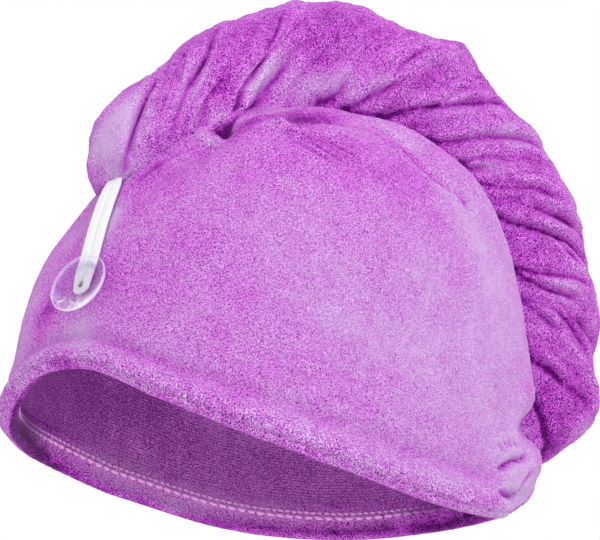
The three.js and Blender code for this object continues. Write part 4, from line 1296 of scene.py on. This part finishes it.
def clear_resin(name, centre, axis, radius):
    """Clear moulded resin: thin and nearly invisible in the middle, which is tinted dark violet as
    painted shadow of the disc, a bluish step further out, then a firm white rim with a painted
    highlight on its lower side, and painted pale reflections in patches below."""
    m = Nodes(name)
    offset = m.vector("SUBTRACT", m.coord, (centre * MM).tolist())

    def share(distance, clamp=False):
        return m.math("DIVIDE", distance, radius * MM, clamp=clamp)

    def toward(direction):
        flat = unit(np.array(direction) - (np.array(direction) @ axis) * axis)
        return share(m.vector("DOT_PRODUCT", offset, flat.tolist(), out="Value"), True)

    across = m.vector("CROSS_PRODUCT", offset, axis.tolist())
    out = share(m.vector("LENGTH", across, out="Value"))
    # the lower side and the underside carry the painted highlight and the painted reflections
    low = toward((0.64, -0.09, -0.76))
    under = toward((0.15, 0.26, -0.95))
    faint = m.noise(260, 2.0, 0.55, 1.5)
    patch = m.times(m.scaled(faint, 0.46, 9.0, True), m.scaled(under, 0.3, 2.2, True))
    # dark violet middle: painted shadow of the disc on the cloth
    tint = m.ramp(out, (0.0, 0.30, 0.08, 0.38), (0.62, 0.28, 0.08, 0.40),
                  (0.75, 0.24, 0.14, 0.52), (0.84, 0.50, 0.40, 0.86),
                  (0.95, 0.62, 0.60, 0.98), (1.0, 0.97, 0.97, 1.0))
    # painted white highlight on the lower side and painted pale reflections in patches
    white = m.add(m.times(low, 0.7), m.times(patch, 0.6), clamp=True)
    m.paint(m.mix(white, tint, (0.97, 0.95, 1.0, 1)))
    firm = m.ramp(out, (0.0, 0.08), (0.62, 0.10), (0.74, 0.26), (0.82, 0.08), (0.962, 0.07),
                  (0.985, 0.40), (1.0, 0.48))
    # painted highlight: the rim is firmer and whiter on its lower side
    ring = m.times(m.scaled(out, 0.82, 6.0, True), m.scaled(low, 0.3, 1.5, True))
    alpha = m.add(firm, m.times(ring, 0.34), m.times(patch, 0.34), clamp=True)
    m.link(alpha, m.bsdf.inputs["Alpha"])
    m.bump(faint, 0.05, 0.0004)
    m.values(Roughness=0.06, Specular_IOR_Level=0.45, Coat_Weight=0.4, Coat_Roughness=0.03)
    return m.mat


def sewing_thread(name, low, high, shaded_spots=()):
    """Twisted thread, with painted shade near the given points."""
    m = Nodes(name)
    ply = m.noise(1500, 1.0)
    colour = m.ramp(ply, (0.25, *low), (0.75, *high))
    # painted shade: the colour darkens near each given point
    for *point, reach in shaded_spots:
        gap = m.vector("DISTANCE", m.coord, [c * MM for c in point], out="Value")
        out_of_shade = m.math("POWER", m.times(gap, 1 / (reach * MM), clamp=True), 2.0)
        colour = m.mix(out_of_shade, (0.30, 0.07, 0.36, 1), colour)
    m.paint(colour)
    m.bump(ply, 0.4, 0.0002)
    m.values(Roughness=0.6, Specular_IOR_Level=0.3, Sheen_Weight=0.2)
    return m.mat


def camera_axes():
    a, e, r = CAM_AZ, CAM_EL, CAM_ROLL
    back = np.array([math.sin(a) * math.cos(e), -math.cos(a) * math.cos(e), math.sin(e)])
    right = np.array([math.cos(a), math.sin(a), 0.0])
    up = np.cross(back, right)
    return right * math.cos(r) + up * math.sin(r), -right * math.sin(r) + up * math.cos(r), back


def build_stage():
    right, up, back = camera_axes()
    cam = bpy.data.cameras.new("camera")
    cam.sensor_fit = "HORIZONTAL"
    cam.sensor_width = 36.0
    cam.lens = CAM_LENS
    cam.clip_start, cam.clip_end = 0.01, 20.0
    obj = add_object("camera", cam)
    place = (CAM_TARGET + back * CAM_DIST) * MM
    rows = np.column_stack([right, up, back])
    obj.matrix_world = Matrix.Translation(place.tolist()) @ Matrix(rows.tolist()).to_4x4()
    bpy.context.scene.camera = obj

    corners = [(x * FLOOR_HALF, y * FLOOR_HALF, FLOOR_LEVEL)
               for x, y in ((-1, -1), (1, -1), (1, 1), (-1, 1))]
    floor = make_mesh("floor", corners, [(0, 1, 2, 3)])
    m = Nodes("floor_white")
    m.paint(m.ramp(m.noise(3), (0, 0.86, 0.86, 0.87), (1, 0.9, 0.9, 0.91)))
    m.values(Roughness=0.8)
    floor.data.materials.append(m.mat)

    world = bpy.data.worlds.new("studio")
    world.use_nodes = True
    world.node_tree.nodes["Background"].inputs["Color"].default_value = (1, 1, 1, 1)
    world.node_tree.nodes["Background"].inputs["Strength"].default_value = 1.0
    bpy.context.scene.world = world

    light = bpy.data.lights.new("key", "AREA")
    light.shape, light.size, light.energy = "DISK", 0.6, 6.0
    lamp = add_object("key", light)
    lamp.location = (-0.1, -1.1, 0.95)
    aim = Vector((0, 0, 0.08)) - lamp.location
    lamp.rotation_euler = aim.to_track_quat("-Z", "Y").to_euler()
    bpy.context.scene.view_settings.view_transform = "Standard"
    bpy.context.scene.view_settings.look = "None"


build_stage()
hood, cap_grid, n_out, band = build_cap()

# What the tail and the elastic rest on: the cap without its dents, but for those by the tail,
# which are the fourth fold and the last three dents.
levels = np.minimum(np.sin(np.linspace(0, 1, 150) * np.pi / 2), 0.9999)[:, None]
raised = [row for row in CAP_FOLDS if row[-1] > 0] + [CAP_FOLDS[3]] + CAP_DENTS[-3:]
rest = surface_tree(cap_point(CAP_PHI, levels, raised))

declare(hood, "hood", plush("plush_cap", 1.0, 1.0))
hood.data.materials.append(knit_back("knit_inside"))
slot = np.zeros(len(hood.data.polygons), np.int32)
grid_quads = (len(cap_grid) - 1) * CAP_AROUND
slot[band * CAP_AROUND:grid_quads] = 1
slot[grid_quads + CAP_AROUND:] = 1
hood.data.polygons.foreach_set("material_index", slot)

tail = build_tail(rest)
declare(tail, "tail", plush("plush_tail", 1.2, shade=0.46))
declare(build_loop(rest), "elastic_loop", elastic_weave("elastic_white"))
disc, stem = build_button()
declare(disc, "button",
        clear_resin("resin_clear", cap_point(BUTTON_PHI, BUTTON_ZETA), unit(BUTTON_FACING),
                    BUTTON_RADIUS))
declare(stem, "button_thread",
        sewing_thread("thread_violet", (0.20, 0.05, 0.26), (0.40, 0.16, 0.46)))
stitches = build_stitches(cap_grid, n_out)
# the hem thread gets painted shade at both ends of the seam's seen part
declare(stitches, "hood",
        sewing_thread("thread_pink", (0.92, 0.42, 0.91), (1.0, 0.62, 0.99),
                      [(-70, 50, 9, 24), (99, 21, 9, 22)]))
